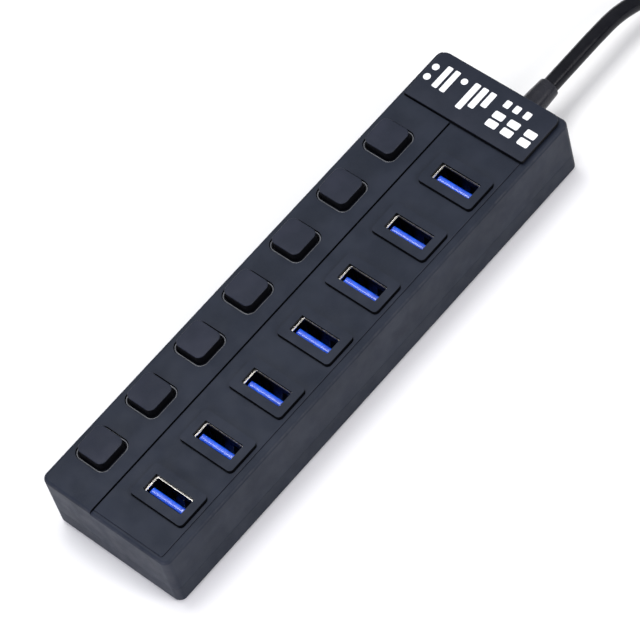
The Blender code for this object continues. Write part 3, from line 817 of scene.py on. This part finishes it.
def make_top_cover():
    x0, x1, _, y1 = OUTLINE
    outside = block(OUTLINE, PARTING, LEDGE_TOP, radius=CORNER_RADIUS, round_top=EDGE_ROUND, steps=12)
    cover = Solid("top_cover_moulding", outside)
    button_side = (x0, x1 - EDGE_ROUND, STEP_Y, y1)
    corners = (CORNER_RADIUS, CORNER_RADIUS, SHARP, SHARP)
    cover.join(
        block(
            button_side,
            CEILING - THROUGH,
            SWITCH_TOP,
            radius=corners,
            steps=12,
            round_top=EDGE_ROUND,
            sides=(1, 0, 0, 1),
        )
    )
    panel_root = CEILING + 0.2 * MM
    cover.join(block(PANEL_BOX, panel_root, PANEL_TOP, radius=0.6 * MM, steps=4, round_top=PANEL_ROUND))
    cut_grooves_and_add_pads(cover)

    near, _, right, left = inset(PLATE_BOX, -GAP)
    corner = PLATE_CORNERS[1] + GAP
    cover.cut(block((near, x1 + corner, right, left), LEDGE_TOP, PLATE_TOP + THROUGH, radius=corner))
    hollow = inset(OUTLINE, WALL)
    cover.cut(block(hollow, PARTING - THROUGH, CEILING, radius=CORNER_RADIUS - WALL, steps=4))
    below = CEILING - THROUGH
    cover.cut(blocks(port_boxes(WINDOW_SIZE), below, PAD_TOP + THROUGH, radius=0.15 * MM, steps=2))
    pocket = [size + 2 * GAP for size in shell_size()]
    cover.cut(blocks(port_boxes(pocket), below, SHELL_TOP + GAP, radius=0.9 * MM, steps=4))
    cover.cut(blocks(button_boxes(BUTTON_HOLE), below, SWITCH_TOP + THROUGH, radius=2.6 * MM, steps=8))
    boss_radius, boss_bottom = 2.8 * MM, 4.7 * MM
    cover.join(cylinders(boss_radius, boss_bottom, CEILING + 0.5 * MM, SCREWS, 32))
    pilot_radius, pilot_bottom, pilot_top = 1.3 * MM, 4.0 * MM, 13.0 * MM
    cover.cut(cylinders(pilot_radius, pilot_bottom, pilot_top, SCREWS, 24))
    hole_radius, start = 3.7 * MM, x1 - 2 * WALL
    through = [(hole_radius, 0), (hole_radius, 2 * WALL + THROUGH)]
    cable_hole = bmesh.new()
    add_turned(cable_hole, through, 64, matrix=along_x(start, CABLE_EXIT[1], CABLE_EXIT[2]))
    cover.cut(cable_hole)

    cover.soften(0.12 * MM)
    made = cover.settle(COVER)
    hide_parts("top_cover")


def cut_grooves_and_add_pads(cover):
    """Grooves on each pad's -X and -Y sides and along the step, with the pads standing in them."""
    bottom = PANEL_TOP - GROOVE_DEPTH
    pads = port_boxes(PAD_SIZE)
    grown = [inset(pad, -GROOVE, (1, 0, 1, 0)) for pad in pads]
    cover.cut(blocks(grown, bottom, PAD_TOP, radius=PAD_RADIUS + GROOVE, steps=6))
    cover.join(blocks(pads, CEILING + 0.4 * MM, PAD_TOP, radius=PAD_RADIUS, steps=6))
    step = (PANEL_BOX[0], PANEL_BOX[1], STEP_Y - GROOVE, STEP_Y)
    cover.cut(block(step, bottom, PANEL_TOP + 0.1 * MM, radius=0.02 * MM, steps=1))


def make_bottom_cover():
    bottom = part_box("bottom_cover")[0].z
    outside = block(
        OUTLINE, bottom, PARTING - SEAM, radius=CORNER_RADIUS, steps=12, round_bottom=BOTTOM_ROUND
    )
    cover = Solid("bottom_cover_moulding", outside)
    rim = inset(OUTLINE, WALL + GAP)
    cover.join(block(rim, PARTING - 1.5 * MM, LIP_TOP, radius=CORNER_RADIUS - WALL - GAP, steps=6))
    cover.cut(block(inset(rim, LIP_WALL), FLOOR_TOP, LIP_TOP + THROUGH, radius=0.4 * MM, steps=3))
    half, notch_start = 5.2 * MM, 75.0 * MM
    notch = (notch_start, OUTLINE[1] - WALL, CABLE_EXIT[1] - half, CABLE_EXIT[1] + half)
    cover.cut(block(notch, CABLE_EXIT[2] - half, LIP_TOP + THROUGH, steps=1))

    root, seat = FLOOR_TOP - 0.5 * MM, BOARD_BOTTOM - GAP
    post_radius, post_top, peg_radius = 2.9 * MM, 4.4 * MM, 1.2 * MM
    posts = cylinders(post_radius, root, post_top, SCREWS, 32)
    for x in (-48.0 * MM, 0.0, 48.0 * MM):
        for y in (-16.6 * MM, 16.6 * MM):
            add_cylinder(posts, peg_radius, root, seat, (x, y), 24)
    first, last, past_end, half_rib = PORTS[0], PORTS[-1], 6.0 * MM, 0.6 * MM
    under_ports = (first.x - past_end, last.x + past_end, first.y - half_rib, first.y + half_rib)
    add_block(posts, under_ports, root, seat, steps=2)
    cover.join(posts)
    shank_radius, head_radius, head_seat = 1.5 * MM, 2.3 * MM, 2.6 * MM
    cover.cut(cylinders(shank_radius, 0.0, 6.0 * MM, SCREWS, 24))
    recesses = cylinders(head_radius, 0.0, head_seat, SCREWS, 48)
    foot_radius, foot_recess = 4.8 * MM, 0.6 * MM
    for place in FEET:
        add_cylinder(recesses, foot_radius, 0.0, bottom + foot_recess, place, 64)
    cover.cut(recesses)
    cover.soften(0.06 * MM)
    made = cover.settle(BASE)
    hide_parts("bottom_cover")


def make_title_plate():
    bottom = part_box("title_plate")[0].z
    plate = block(
        PLATE_BOX,
        bottom,
        PLATE_TOP,
        radius=PLATE_CORNERS,
        steps=8,
        round_top=0.22 * MM,
        round_bottom=0.1 * MM,
    )
    made = piece("title_plate_moulding", plate, PLATE)
    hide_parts("title_plate")


def make_light_guide():
    """A strip under the cover with a square frame standing up round each button."""
    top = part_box("light_guide")[1].z
    strip_top = CEILING - GAP
    strip = block(box_of("light_guide"), strip_top - 2.0 * MM, strip_top, radius=1.0 * MM, steps=4)
    guide = Solid("light_guide_moulding", strip)
    outer, inner = button_boxes(10.95 * MM), button_boxes(10.35 * MM)
    guide.join(blocks(outer, strip_top - 1.0 * MM, top, radius=2.4 * MM, steps=8))
    guide.cut(blocks(inner, strip_top - 3.0 * MM, top + THROUGH, radius=2.15 * MM, steps=8))
    guide.soften(0.05 * MM)
    made = guide.settle(GUIDE)
    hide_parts("light_guide")


def cap_shape(centre, bottom, top, radius):
    """A square cap with a filleted edge and a slightly crowned top."""
    size, rounding, crown = 9.25 * MM, 0.34 * MM, 0.05 * MM
    levels = [(0.0, bottom)]
    for angle in arc_steps(rounding, 8):
        drop = crown + rounding * (1 - math.sin(angle))
        levels.append((rounding * (1 - math.cos(angle)), top - drop))
    for share in (0.25, 0.5, 0.75, 0.95):
        levels.append((rounding + share * (size / 2 - rounding), top - crown * (1 - share) ** 2))
    loops = []
    for distance, height in levels:
        if distance > rounding:
            corner = (radius - rounding) * (size - 2 * distance) / (size - 2 * rounding)
        else:
            corner = radius - distance
        box = inset(square_box(size, centre=centre), distance)
        loops.append([(x, y, height) for x, y in loop_points(box, (corner,) * 4, 10)])
    bm = bmesh.new()
    add_loft(bm, loops)
    return bm


def make_button(number):
    """A hollow cap on a flange, with a boss inside that takes the switch's plunger."""
    node = f"button_cap_{number}"
    low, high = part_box(node)
    centre = BUTTONS[number - 1]
    radius, flange = 1.9 * MM, 1.0 * MM
    under = low.z - THROUGH
    cap = Solid(f"button_{number}_cap", cap_shape(centre, low.z + 0.9 * MM, high.z, radius))
    cap.join(block(square_box(10.6 * MM, centre=centre), low.z, low.z + flange, radius=radius, steps=6))
    hollow, boss = square_box(7.0 * MM, centre=centre), square_box(4.7 * MM, centre=centre)
    ring = bmesh.new()
    add_tube(ring, hollow, 1.0 * MM, boss, 0.3 * MM, under, high.z - 1.5 * MM, 3)
    cap.cut(ring)
    socket_top, mouth_top = 21.5 * MM, 16.0 * MM
    cap.cut(block(square_box(3.3 * MM, centre=centre), under, socket_top, steps=1))
    cap.cut(block(square_box(5.2 * MM, centre=centre), under, mouth_top, steps=1))
    made = cap.settle(CAP, f"button_{number}")
    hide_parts(node)


# ---------------------------------------------------------------- ports

SPRING_PLACES = (-3.1 * MM, 3.1 * MM)
LONG_CONTACTS = (-3.5 * MM, -1.0 * MM, 1.0 * MM, 3.5 * MM)
SHORT_CONTACTS = (-4.0 * MM, -2.0 * MM, 0.0, 2.0 * MM, 4.0 * MM)


def make_port_sleeve(number):
    """The folded steel sleeve: a rolled mouth, two spring windows in each wide wall, and end slits.

    Only the first sleeve's far wall is rolled over as well, which gives it alone a bright far edge.
    """
    node = f"port_shell_{number}"
    low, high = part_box(node)
    centre = PORTS[number - 1]
    outer = box_of(node)
    bm = bmesh.new()
    add_tube(bm, outer, 0.75 * MM, inset(outer, SHELL_SHEET), 0.45 * MM, low.z, high.z, 6, lip=0.16 * MM)
    sleeve = Solid(f"port_sleeve_{number}", bm)
    bm = bmesh.new()
    window_bottom, window_top = 12.5 * MM, 17.6 * MM
    for y in SPRING_PLACES:
        window = square_box(8.0 * MM, 2.2 * MM, (centre.x, centre.y + y))
        add_block(bm, window, window_bottom, window_top, steps=1)
    slit_bottom, slit_top = 13.4 * MM, 16.8 * MM
    for y in outer[2:]:
        slit = square_box(1.8 * MM, 2.0 * MM, (centre.x, y))
        add_block(bm, slit, slit_bottom, slit_top, steps=1)
    sleeve.cut(bm)
    far_wall, rolled = (1 if number == 1 else 0), 0.25 * MM
    rim = inset(inset(outer, SHELL_SHEET), rolled, (0, far_wall, 1, 1))
    rim_bottom, rim_top = high.z - 0.3 * MM, high.z - 0.02 * MM
    bm = bmesh.new()
    add_tube(bm, inset(outer, 0.08 * MM), 0.67 * MM, rim, 0.35 * MM, rim_bottom, rim_top, 6)
    sleeve.join(bm)
    made = sleeve.settle(STEEL)
    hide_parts(node)
    make_port_springs(number, (high.x - low.x - SHELL_SHEET) / 2)


def spring_bend(share):
    """How far a spring stands in from its wall, from its root (0) over its crest to its tip (1)."""
    crest = 0.78
    if share < crest:
        return math.sin(math.pi / 2 * share / crest)
    return 1 - 1.4 * (share - crest)


def make_port_springs(number, wall):
    """Four strips bent in from the wide walls, the ones on the far side further."""
    centre = PORTS[number - 1]
    top, length, steps = 17.7 * MM, 4.9 * MM, 12
    bm = bmesh.new()
    for side, inward in ((-1, 0.62 * MM), (1, 0.95 * MM)):
        line = []
        for step in range(steps + 1):
            share = step / steps
            line.append((centre.x + side * (wall - inward * spring_bend(share)), top - length * share))
        for y in SPRING_PLACES:
            strip = bmesh.new()
            add_strip(strip, line, 0.85 * MM, 0.22 * MM)
            bmesh.ops.translate(strip, verts=strip.verts, vec=(0, centre.y + y, 0))
            absorb(bm, strip)
    springs = piece(f"port_springs_{number}", bm, STEEL)


def absorb(bm, other):
    """Adds one bmesh's faces to another."""
    mesh = bpy.data.meshes.new("passing")
    other.to_mesh(mesh)
    other.free()
    bm.from_mesh(mesh)
    bpy.data.meshes.remove(mesh)


def tongue_shape(box, bottom, top):
    """An upright slab whose top is a flat arch across X."""
    reach, drop = (box[1] - box[0]) / 2, 0.42 * MM
    levels = [(0.0, bottom)]
    for angle in arc_steps(reach, 12)[:-1]:
        levels.append((reach * (1 - math.cos(angle)), top - drop * (1 - math.sin(angle))))
    loops = []
    for distance, height in levels:
        radius = max(0.35 * MM - distance, LEAST_RADIUS)
        loops.append([(x, y, height) for x, y in loop_points(inset(box, distance), (radius,) * 4, 5)])
    bm = bmesh.new()
    add_loft(bm, loops)
    return bm


def make_port_tongue(number):
    """The blue moulding and its nine contacts: five short ones near the tip, four long ones behind."""
    node = f"port_insert_{number}"
    low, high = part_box(node)
    centre = PORTS[number - 1]
    front = centre.x + 0.04 * MM
    base_top = 9.8 * MM
    base = block(box_of(node), low.z, base_top, radius=0.15 * MM, steps=2, round_top=0.12 * MM)
    body = Solid(f"port_tongue_{number}", base)
    slab = (centre.x - 1.80 * MM, front, low.y, high.y)
    body.join(tongue_shape(slab, base_top - 1.0 * MM, high.z))
    grooves = [square_box(0.24 * MM, 1.16 * MM, (front, centre.y + y)) for y in LONG_CONTACTS]
    body.cut(blocks(grooves, base_top - 0.2 * MM, high.z - 1.4 * MM, radius=0.02 * MM, steps=1))
    body.soften(0.05 * MM, 1)
    made = body.settle(BLUE)
    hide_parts(node)

    bm = bmesh.new()
    for y in LONG_CONTACTS:
        pad = square_box(0.16 * MM, 1.0 * MM, (front - 0.02 * MM, centre.y + y))
        add_block(bm, pad, base_top - 0.1 * MM, high.z - 1.5 * MM, 0.03 * MM, steps=2, round_top=0.06 * MM)
    for y in SHORT_CONTACTS:
        pad = square_box(0.20 * MM, 0.62 * MM, (front, centre.y + y))
        add_block(bm, pad, high.z - 2.3 * MM, high.z - 0.75 * MM, 0.05 * MM, steps=2, round_top=0.07 * MM)
    contacts = piece(f"port_contacts_{number}", bm, GOLD)


# ---------------------------------------------------------------- title marks

# Plain bars and dots: (middle x, middle y, length along X, width along Y), in millimetres.
MARKS = [
    (70.7, 18.4, 2.1, 2.1),
    (74.4, 18.4, 2.1, 2.1),
    (72.8, 14.75, 7.6, 1.75),
    (72.8, 12.15, 7.6, 1.75),
    (74.9, 8.85, 2.0, 2.0),
    (71.8, 5.05, 9.2, 1.9),
    (72.8, 2.35, 7.2, 1.9),
    (73.8, -0.35, 5.2, 1.9),
]
MARKS += [(x, y, 2.3, 3.5) for y in (-5.9, -11.0, -16.7) for x in (68.3, 71.3)]
MARKS += [(75.5, y, 2.4, 1.9) for y in (-5.5, -8.7, -12.2)]


def make_title_marks():
    bottom, top = PLATE_TOP - 0.02 * MM, PLATE_TOP + 0.035 * MM
    bm = bmesh.new()
    for x, y, length, width in MARKS:
        box = square_box(length * MM, width * MM, (x * MM, y * MM))
        roundness = 0.98 if length == width else 0.42
        radius = min(length, width) * MM / 2 * roundness
        add_block(bm, box, bottom, top, radius, steps=8, round_top=0.02 * MM, curve=2)
    marks = piece("title_marks", bm, INK)


# ---------------------------------------------------------------- cable end pieces


def make_strain_relief():
    """A short rubber sleeve: a collar behind the end wall, and a taper with a rounded end outside it."""
    wall_inside = OUTLINE[1] - WALL
    bore = CABLE_DIAMETER / 2 + 0.05 * MM
    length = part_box("strain_relief")[1].x - wall_inside
    profile = [
        (bore, -2.0 * MM),
        (4.4 * MM, -2.0 * MM),
        (4.6 * MM, -1.8 * MM),
        (4.6 * MM, -GAP),
        (3.42 * MM, -GAP),
        (3.42 * MM, WALL + 1.2 * MM),
        (3.38 * MM, WALL + 3.0 * MM),
        (3.30 * MM, length * 0.62),
    ]
    end_radius, rounding = 3.05 * MM, 0.45 * MM
    for angle in arc_steps(rounding, 6):
        radius = end_radius - rounding * (1 - math.cos(angle))
        profile.append((radius, length - rounding * (1 - math.sin(angle))))
    profile.append((bore, length))
    bm = bmesh.new()
    add_turned(bm, profile, 72, closed=True, matrix=along_x(wall_inside, CABLE_EXIT[1], CABLE_EXIT[2]))
    sleeve = piece("cable_sleeve", bm, SLEEVE)
    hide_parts("strain_relief")
    return sleeve


def make_tie():
    """A woven band round the two runs on one side of the hank, its end lapped over the top."""
    low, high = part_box("cable_tie")
    band = 0.6 * MM
    half = (high.x - low.x) / 2
    middle_x = (low.x + high.x) / 2
    outside = (low.y, high.y, low.z, high.z)
    bm = bmesh.new()
    add_tube(bm, outside, 2.3 * MM, inset(outside, band), 1.8 * MM, -half, half, 10)
    lap = (low.y + 2.6 * MM, high.y - 3.0 * MM, high.z - 0.04 * MM, high.z + 0.55 * MM)
    add_block(bm, lap, -half + 0.05 * MM, half - 0.05 * MM, 0.26 * MM, steps=4)
    stand = Matrix(((0, 0, 1, middle_x), (1, 0, 0, 0), (0, 1, 0, 0), (0, 0, 0, 1)))
    bmesh.ops.transform(bm, matrix=stand, verts=bm.verts)
    tie = piece("hank_tie", bm, WEAVE)
    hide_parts("cable_tie")
    return tie


def lay_plug(bm):
    """Turns a solid made upright, its front at the top, to lie along -X at the plug's place."""
    low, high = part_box("plug_shell")
    middle = (low + high) / 2
    lay = Matrix(((0, 0, -1, 0), (0, 1, 0, middle.y), (1, 0, 0, middle.z), (0, 0, 0, 1)))
    bmesh.ops.transform(bm, matrix=lay, verts=bm.verts)
    return bm


# The plug is made upright, where a height is its distance along -X.
PLUG_FRONT = -176.0 * MM
PLUG_REAR = -203.0 * MM
PLUG_SEAT = 5.0 * MM
PLUG_SECTION = square_box(4.5 * MM, 12.0 * MM)
GRIP_SECTION = square_box(7.8 * MM, 15.6 * MM)
PLUG_SHELL_LOW = PLUG_FRONT - PLUG_SEAT + GAP
PLUG_SHELL_HIGH = PLUG_FRONT + 12.0 * MM


def plug_neck():
    collar = 3.4 * MM
    profile = [
        (2.75 * MM, PLUG_REAR - 8.0 * MM),
        (3.0 * MM, PLUG_REAR - 7.6 * MM),
        (collar, PLUG_REAR - 3.0 * MM),
        (collar + 0.5 * MM, PLUG_REAR + 0.4 * MM),
        (collar, PLUG_REAR + 2.0 * MM),
    ]
    bm = bmesh.new()
    add_turned(bm, profile, 48)
    return bm


def neck_grooves():
    inner, outer = 2.75 * MM, 4.2 * MM
    bm = bmesh.new()
    for behind in (6.3 * MM, 4.6 * MM, 2.9 * MM):
        at = PLUG_REAR - behind
        low, high = at - 0.35 * MM, at + 0.35 * MM
        profile = [(inner, low), (outer, low - 0.15 * MM), (outer, high + 0.15 * MM), (inner, high)]
        add_turned(bm, profile, 48, closed=True)
    return bm


def finger_ridges():
    bm = bmesh.new()
    rounding = 0.25 * MM
    for step in range(5):
        at = PLUG_REAR + (7.0 + 2.2 * step) * MM
        for side in (-1, 1):
            ridge = square_box(1.0 * MM, 10.0 * MM, (side * (GRIP_SECTION[1] + 0.25 * MM), 0))
            add_block(bm, ridge, at, at + 0.9 * MM, 0.3 * MM, 3, rounding, rounding, curve=3)
    return bm


def make_plug_grip():
    grip = block(
        GRIP_SECTION,
        PLUG_REAR,
        PLUG_FRONT,
        radius=2.0 * MM,
        steps=10,
        round_top=0.7 * MM,
        round_bottom=1.6 * MM,
    )
    housing = Solid("plug_grip", lay_plug(grip))
    housing.join(lay_plug(plug_neck()))
    housing.cut(lay_plug(neck_grooves()))
    housing.cut(lay_plug(finger_ridges()))
    mouth = inset(PLUG_SECTION, -0.12 * MM)
    seat = block(mouth, PLUG_FRONT - PLUG_SEAT, PLUG_FRONT + THROUGH, radius=0.6 * MM, steps=4)
    housing.cut(lay_plug(seat))
    housing.soften(0.15 * MM)
    made = housing.settle(GRIP)
    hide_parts("plug_housing")
    return made


def make_plug_sleeve():
    bm = bmesh.new()
    inner = inset(PLUG_SECTION, SHELL_SHEET)
    add_tube(
        bm, PLUG_SECTION, 0.55 * MM, inner, 0.28 * MM, PLUG_SHELL_LOW, PLUG_SHELL_HIGH, 6, lip=0.14 * MM
    )
    shell = Solid("plug_sleeve", lay_plug(bm))
    windows = [square_box(8.0 * MM, 2.3 * MM, (0, y)) for y in (-3.0 * MM, 3.0 * MM)]
    shell.cut(lay_plug(blocks(windows, PLUG_FRONT + 5.6 * MM, PLUG_FRONT + 7.9 * MM, steps=1)))
    sleeve = shell.settle(PLUG_STEEL)
    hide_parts("plug_shell")
    return sleeve


def make_plug_insert():
    slab = (-1.93 * MM, 0.0, -5.3 * MM, 5.3 * MM)
    low, high = PLUG_SHELL_LOW + 0.5 * MM, PLUG_SHELL_HIGH - 0.4 * MM
    bm = block(slab, low, high, radius=0.12 * MM, steps=3, round_top=0.15 * MM)
    tongue = piece("plug_tongue", lay_plug(bm), BLUE)
    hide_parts("plug_insert")

    bm = bmesh.new()
    for y, behind in zip(LONG_CONTACTS, (1.0 * MM, 1.8 * MM, 1.8 * MM, 1.0 * MM)):
        pad = square_box(0.14 * MM, 1.0 * MM, (0.0, y))
        end = PLUG_SHELL_HIGH - behind
        add_block(bm, pad, PLUG_FRONT + 2.0 * MM, end, 0.03 * MM, steps=2, round_top=0.05 * MM)
    contacts = piece("plug_contacts", lay_plug(bm), GOLD)
    return [tongue, contacts]


def make_plug():
    """The moulded grip with finger ridges, its steel sleeve with two latch windows, and the insert."""
    return [make_plug_grip(), make_plug_sleeve(), *make_plug_insert()]


# ---------------------------------------------------------------- underside and inside


def screw_profile(head, tip):
    """Radii and heights from the domed head up the threaded shank."""
    radius, dome, under_head = 2.0 * MM, 0.35 * MM, head + 1.2 * MM
    core, crest, pitch = 1.08 * MM, 1.25 * MM, 0.6 * MM
    profile = [(0.15 * MM, head)]
    for step in range(1, 7):
        angle = math.pi / 2 * step / 6
        profile.append((radius * math.sin(angle), head + dome * (1 - math.cos(angle))))
    profile += [(radius, under_head), (1.1 * MM, under_head)]
    at, taper = head + 1.6 * MM, tip - 1.0 * MM
    while at < taper:
        profile += [(core, at), (crest, at + 0.25 * MM), (core, at + 0.5 * MM)]
        at += pitch
    return [*profile, (0.9 * MM, taper), (0.3 * MM, tip)]


def make_screws():
    """Cross-head screws with domed heads, driven up through the bottom cover."""
    low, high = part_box("screw_1")
    head = low.z
    profile = screw_profile(head, high.z)
    cone = [(0.85 * MM, head - 0.2 * MM), (0.25 * MM, head + 1.0 * MM)]
    for number, place in enumerate(SCREWS, start=1):
        stand = Matrix.Translation((*place, 0))
        bm = bmesh.new()
        add_turned(bm, profile, 48, matrix=stand)
        screw = Solid(f"cross_screw_{number}", bm)
        for size in ((2.3 * MM, 0.5 * MM), (0.5 * MM, 2.3 * MM)):
            screw.cut(block(square_box(*size, place), 0.0, head + 0.8 * MM, radius=0.12 * MM, steps=2))
        bm = bmesh.new()
        add_turned(bm, cone, 24, matrix=stand)
        screw.cut(bm)
        made = screw.settle(SCREW)
        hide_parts(f"screw_{number}")


def make_feet():
    low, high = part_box("foot_1")
    radius, rounding = 4.5 * MM, 0.35 * MM
    profile = [(radius - 1.6 * MM, low.z + 0.12 * MM), (radius - 1.45 * MM, low.z)]
    for angle in arc_steps(rounding, 5):
        side = radius - rounding * (1 - math.sin(angle))
        profile.append((side, low.z + rounding * (1 - math.cos(angle))))
    profile.append((radius, high.z))
    for number, place in enumerate(FEET, start=1):
        bm = bmesh.new()
        add_turned(bm, profile, 72, matrix=Matrix.Translation((*place, 0)))
        foot = piece(f"rubber_foot_{number}", bm, FOOT)
        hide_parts(f"foot_{number}")


def make_chip_pins(number):
    """Gull-wing leads round a hub chip."""
    low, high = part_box(f"hub_chip_{number}")
    middle = (low + high) / 2
    half = (high.x - low.x) / 2
    count, pitch = 12, 0.62 * MM
    line = [
        (half - 0.1 * MM, low.z + 0.45 * MM),
        (half + 0.25 * MM, low.z + 0.45 * MM),
        (half + 0.4 * MM, low.z - 0.18 * MM),
        (half + 0.95 * MM, low.z - 0.22 * MM),
    ]
    bm = bmesh.new()
    for side in range(4):
        turn = Matrix.Translation((middle.x, middle.y, 0)) @ Matrix.Rotation(math.pi / 2 * side, 4, "Z")
        for pin in range(count):
            lead = bmesh.new()
            add_strip(lead, line, 0.13 * MM, 0.12 * MM)
            shift = (pin - (count - 1) / 2) * pitch
            bmesh.ops.translate(lead, verts=lead.verts, vec=(0, shift, 0))
            bmesh.ops.transform(lead, matrix=turn, verts=lead.verts)
            absorb(bm, lead)
    pins = piece(f"hub_chip_pins_{number}", bm, TIN)


def make_board_details():
    """Small chip parts, an indicator lamp by each switch, and the solder at each socket's legs."""
    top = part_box("circuit_board")[1].z
    bodies, ends, solder, lamps = [bmesh.new() for _ in range(4)]
    cone = [(0.75 * MM, top), (0.55 * MM, top + 0.25 * MM), (0.2 * MM, top + 0.5 * MM)]
    length, width, end = 1.6 * MM, 0.8 * MM, 0.34 * MM

    def chip_part(x, y, across=False):
        size = (width, length) if across else (length, width)
        end_size = (width + 0.06 * MM, end) if across else (end, width + 0.06 * MM)
        add_block(bodies, square_box(*size, (x, y)), top, top + 0.5 * MM, 0.05 * MM, steps=1)
        for side in (-1, 1):
            shift = side * (length / 2 - 0.1 * MM)
            at = (x, y + shift) if across else (x + shift, y)
            add_block(ends, square_box(*end_size, at), top, top + 0.54 * MM, 0.05 * MM, steps=1)

    for button, port in zip(BUTTONS, PORTS):
        lamp_y = button.y - 6.0 * MM
        for side in (-1, 1):
            chip_part(button.x + side * 3.2 * MM, lamp_y)
            chip_part(port.x + 6.4 * MM, port.y - side * 3.0 * MM, True)
        for x in (-3.4 * MM, 3.4 * MM):
            for y in (-5.6 * MM, 5.6 * MM):
                add_turned(solder, cone, 16, matrix=Matrix.Translation((port.x + x, port.y + y, 0)))
        lamp = square_box(1.6 * MM, 0.9 * MM, (button.x, lamp_y))
        add_block(lamps, lamp, top, top + 0.75 * MM, 0.1 * MM, steps=2, round_top=0.15 * MM)
    details = (
        ("board_parts", bodies, EPOXY, "chip_black"),
        ("board_part_ends", ends, TIN, "can_steel"),
        ("board_solder", solder, TIN, "can_steel"),
        ("indicator_lamps", lamps, GUIDE, "frosted_guide"),
    )
    for name, bm, finish, slot in details:
        made = piece(name, bm, finish)


def dress(nodes, finish, bevel=0.0):
    """Gives CAD nodes that keep their shape a finish, and softer edges where bevel says so."""
    for name in nodes:
        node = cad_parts[name]
        node.data.materials.clear()
        node.data.materials.append(finish)
        if bevel:
            soften_edges(node, bevel)


def dress_inside():
    dress(["circuit_board"], BOARD, bevel=0.1 * MM)
    dress(["hub_chip_1", "hub_chip_2"], EPOXY, bevel=0.08 * MM)
    dress(["crystal", "capacitor"], CAN)
    dress([f"switch_body_{number}" for number in NUMBERS], EPOXY, bevel=0.15 * MM)
    dress([f"switch_plunger_{number}" for number in NUMBERS], CAP, bevel=0.1 * MM)

# ---------------------------------------------------------------- stage


def make_floor():
    bm = bmesh.new()
    bmesh.ops.create_grid(bm, x_segments=1, y_segments=1, size=3.0)
    floor = plain_object("floor", bm)
    pale, paler = (0.86,) * 3, (0.88,) * 3
    n = Nodes("floor_paper", pale, 0.9)
    n.colour(n.mix(n.patches(50.0 * MM), pale, paler))
    floor.data.materials.append(n.material)


def make_light(name, place, target, size, watts, colour=(1.0, 1.0, 1.0)):
    data = bpy.data.lights.new(name, "AREA")
    data.shape = "SQUARE"
    data.size = size
    data.energy = watts
    data.color = colour
    light = bpy.data.objects.new(name, data)
    bpy.context.scene.collection.objects.link(light)
    light.location = place
    light.rotation_euler = (Vector(target) - Vector(place)).to_track_quat("-Z", "Y").to_euler()


def make_lights():
    """A sky that is brighter overhead, a main light, one on the port side and a weak lilac one."""
    world = bpy.data.worlds.new("studio")
    world.use_nodes = True
    tree = world.node_tree
    sky = tree.nodes["Background"]
    sky.inputs["Color"].default_value = (0.96, 0.97, 1.0, 1.0)
    direction = tree.nodes.new("ShaderNodeTexCoord").outputs["Generated"]
    split = tree.nodes.new("ShaderNodeSeparateXYZ")
    tree.links.new(direction, split.inputs["Vector"])
    rise = tree.nodes.new("ShaderNodeMapRange")
    tree.links.new(split.outputs["Z"], rise.inputs["Value"])
    rise.inputs["To Min"].default_value = 0.25
    rise.inputs["To Max"].default_value = 0.95
    tree.links.new(rise.outputs["Result"], sky.inputs["Strength"])
    bpy.context.scene.world = world
    make_light("key", (0.05, 0.30, 1.15), (0, 0, 0), 0.45, 7.0)
    make_light("port_side", (0.30, -0.95, 0.65), (0, 0, 0), 0.5, 6.0, (1.0, 0.97, 0.99))
    make_light("near_fill", (-0.95, -0.10, 0.28), (-0.08, 0, 0.01), 0.4, 5.5, (0.86, 0.84, 1.0))


def main():
    make_camera()
    make_lights()
    make_floor()
    cable, length = make_cable()
    sleeve = make_strain_relief()
    tie = make_tie()
    plug = make_plug()
    make_top_cover()
    make_bottom_cover()
    make_title_plate()
    make_title_marks()
    make_light_guide()
    for number in NUMBERS:
        make_button(number)
        make_port_sleeve(number)
        make_port_tongue(number)
    make_screws()
    make_feet()
    for number in (1, 2):
        make_chip_pins(number)
    make_board_details()
    dress_inside()
    bpy.context.scene.view_settings.view_transform = "Standard"


main()
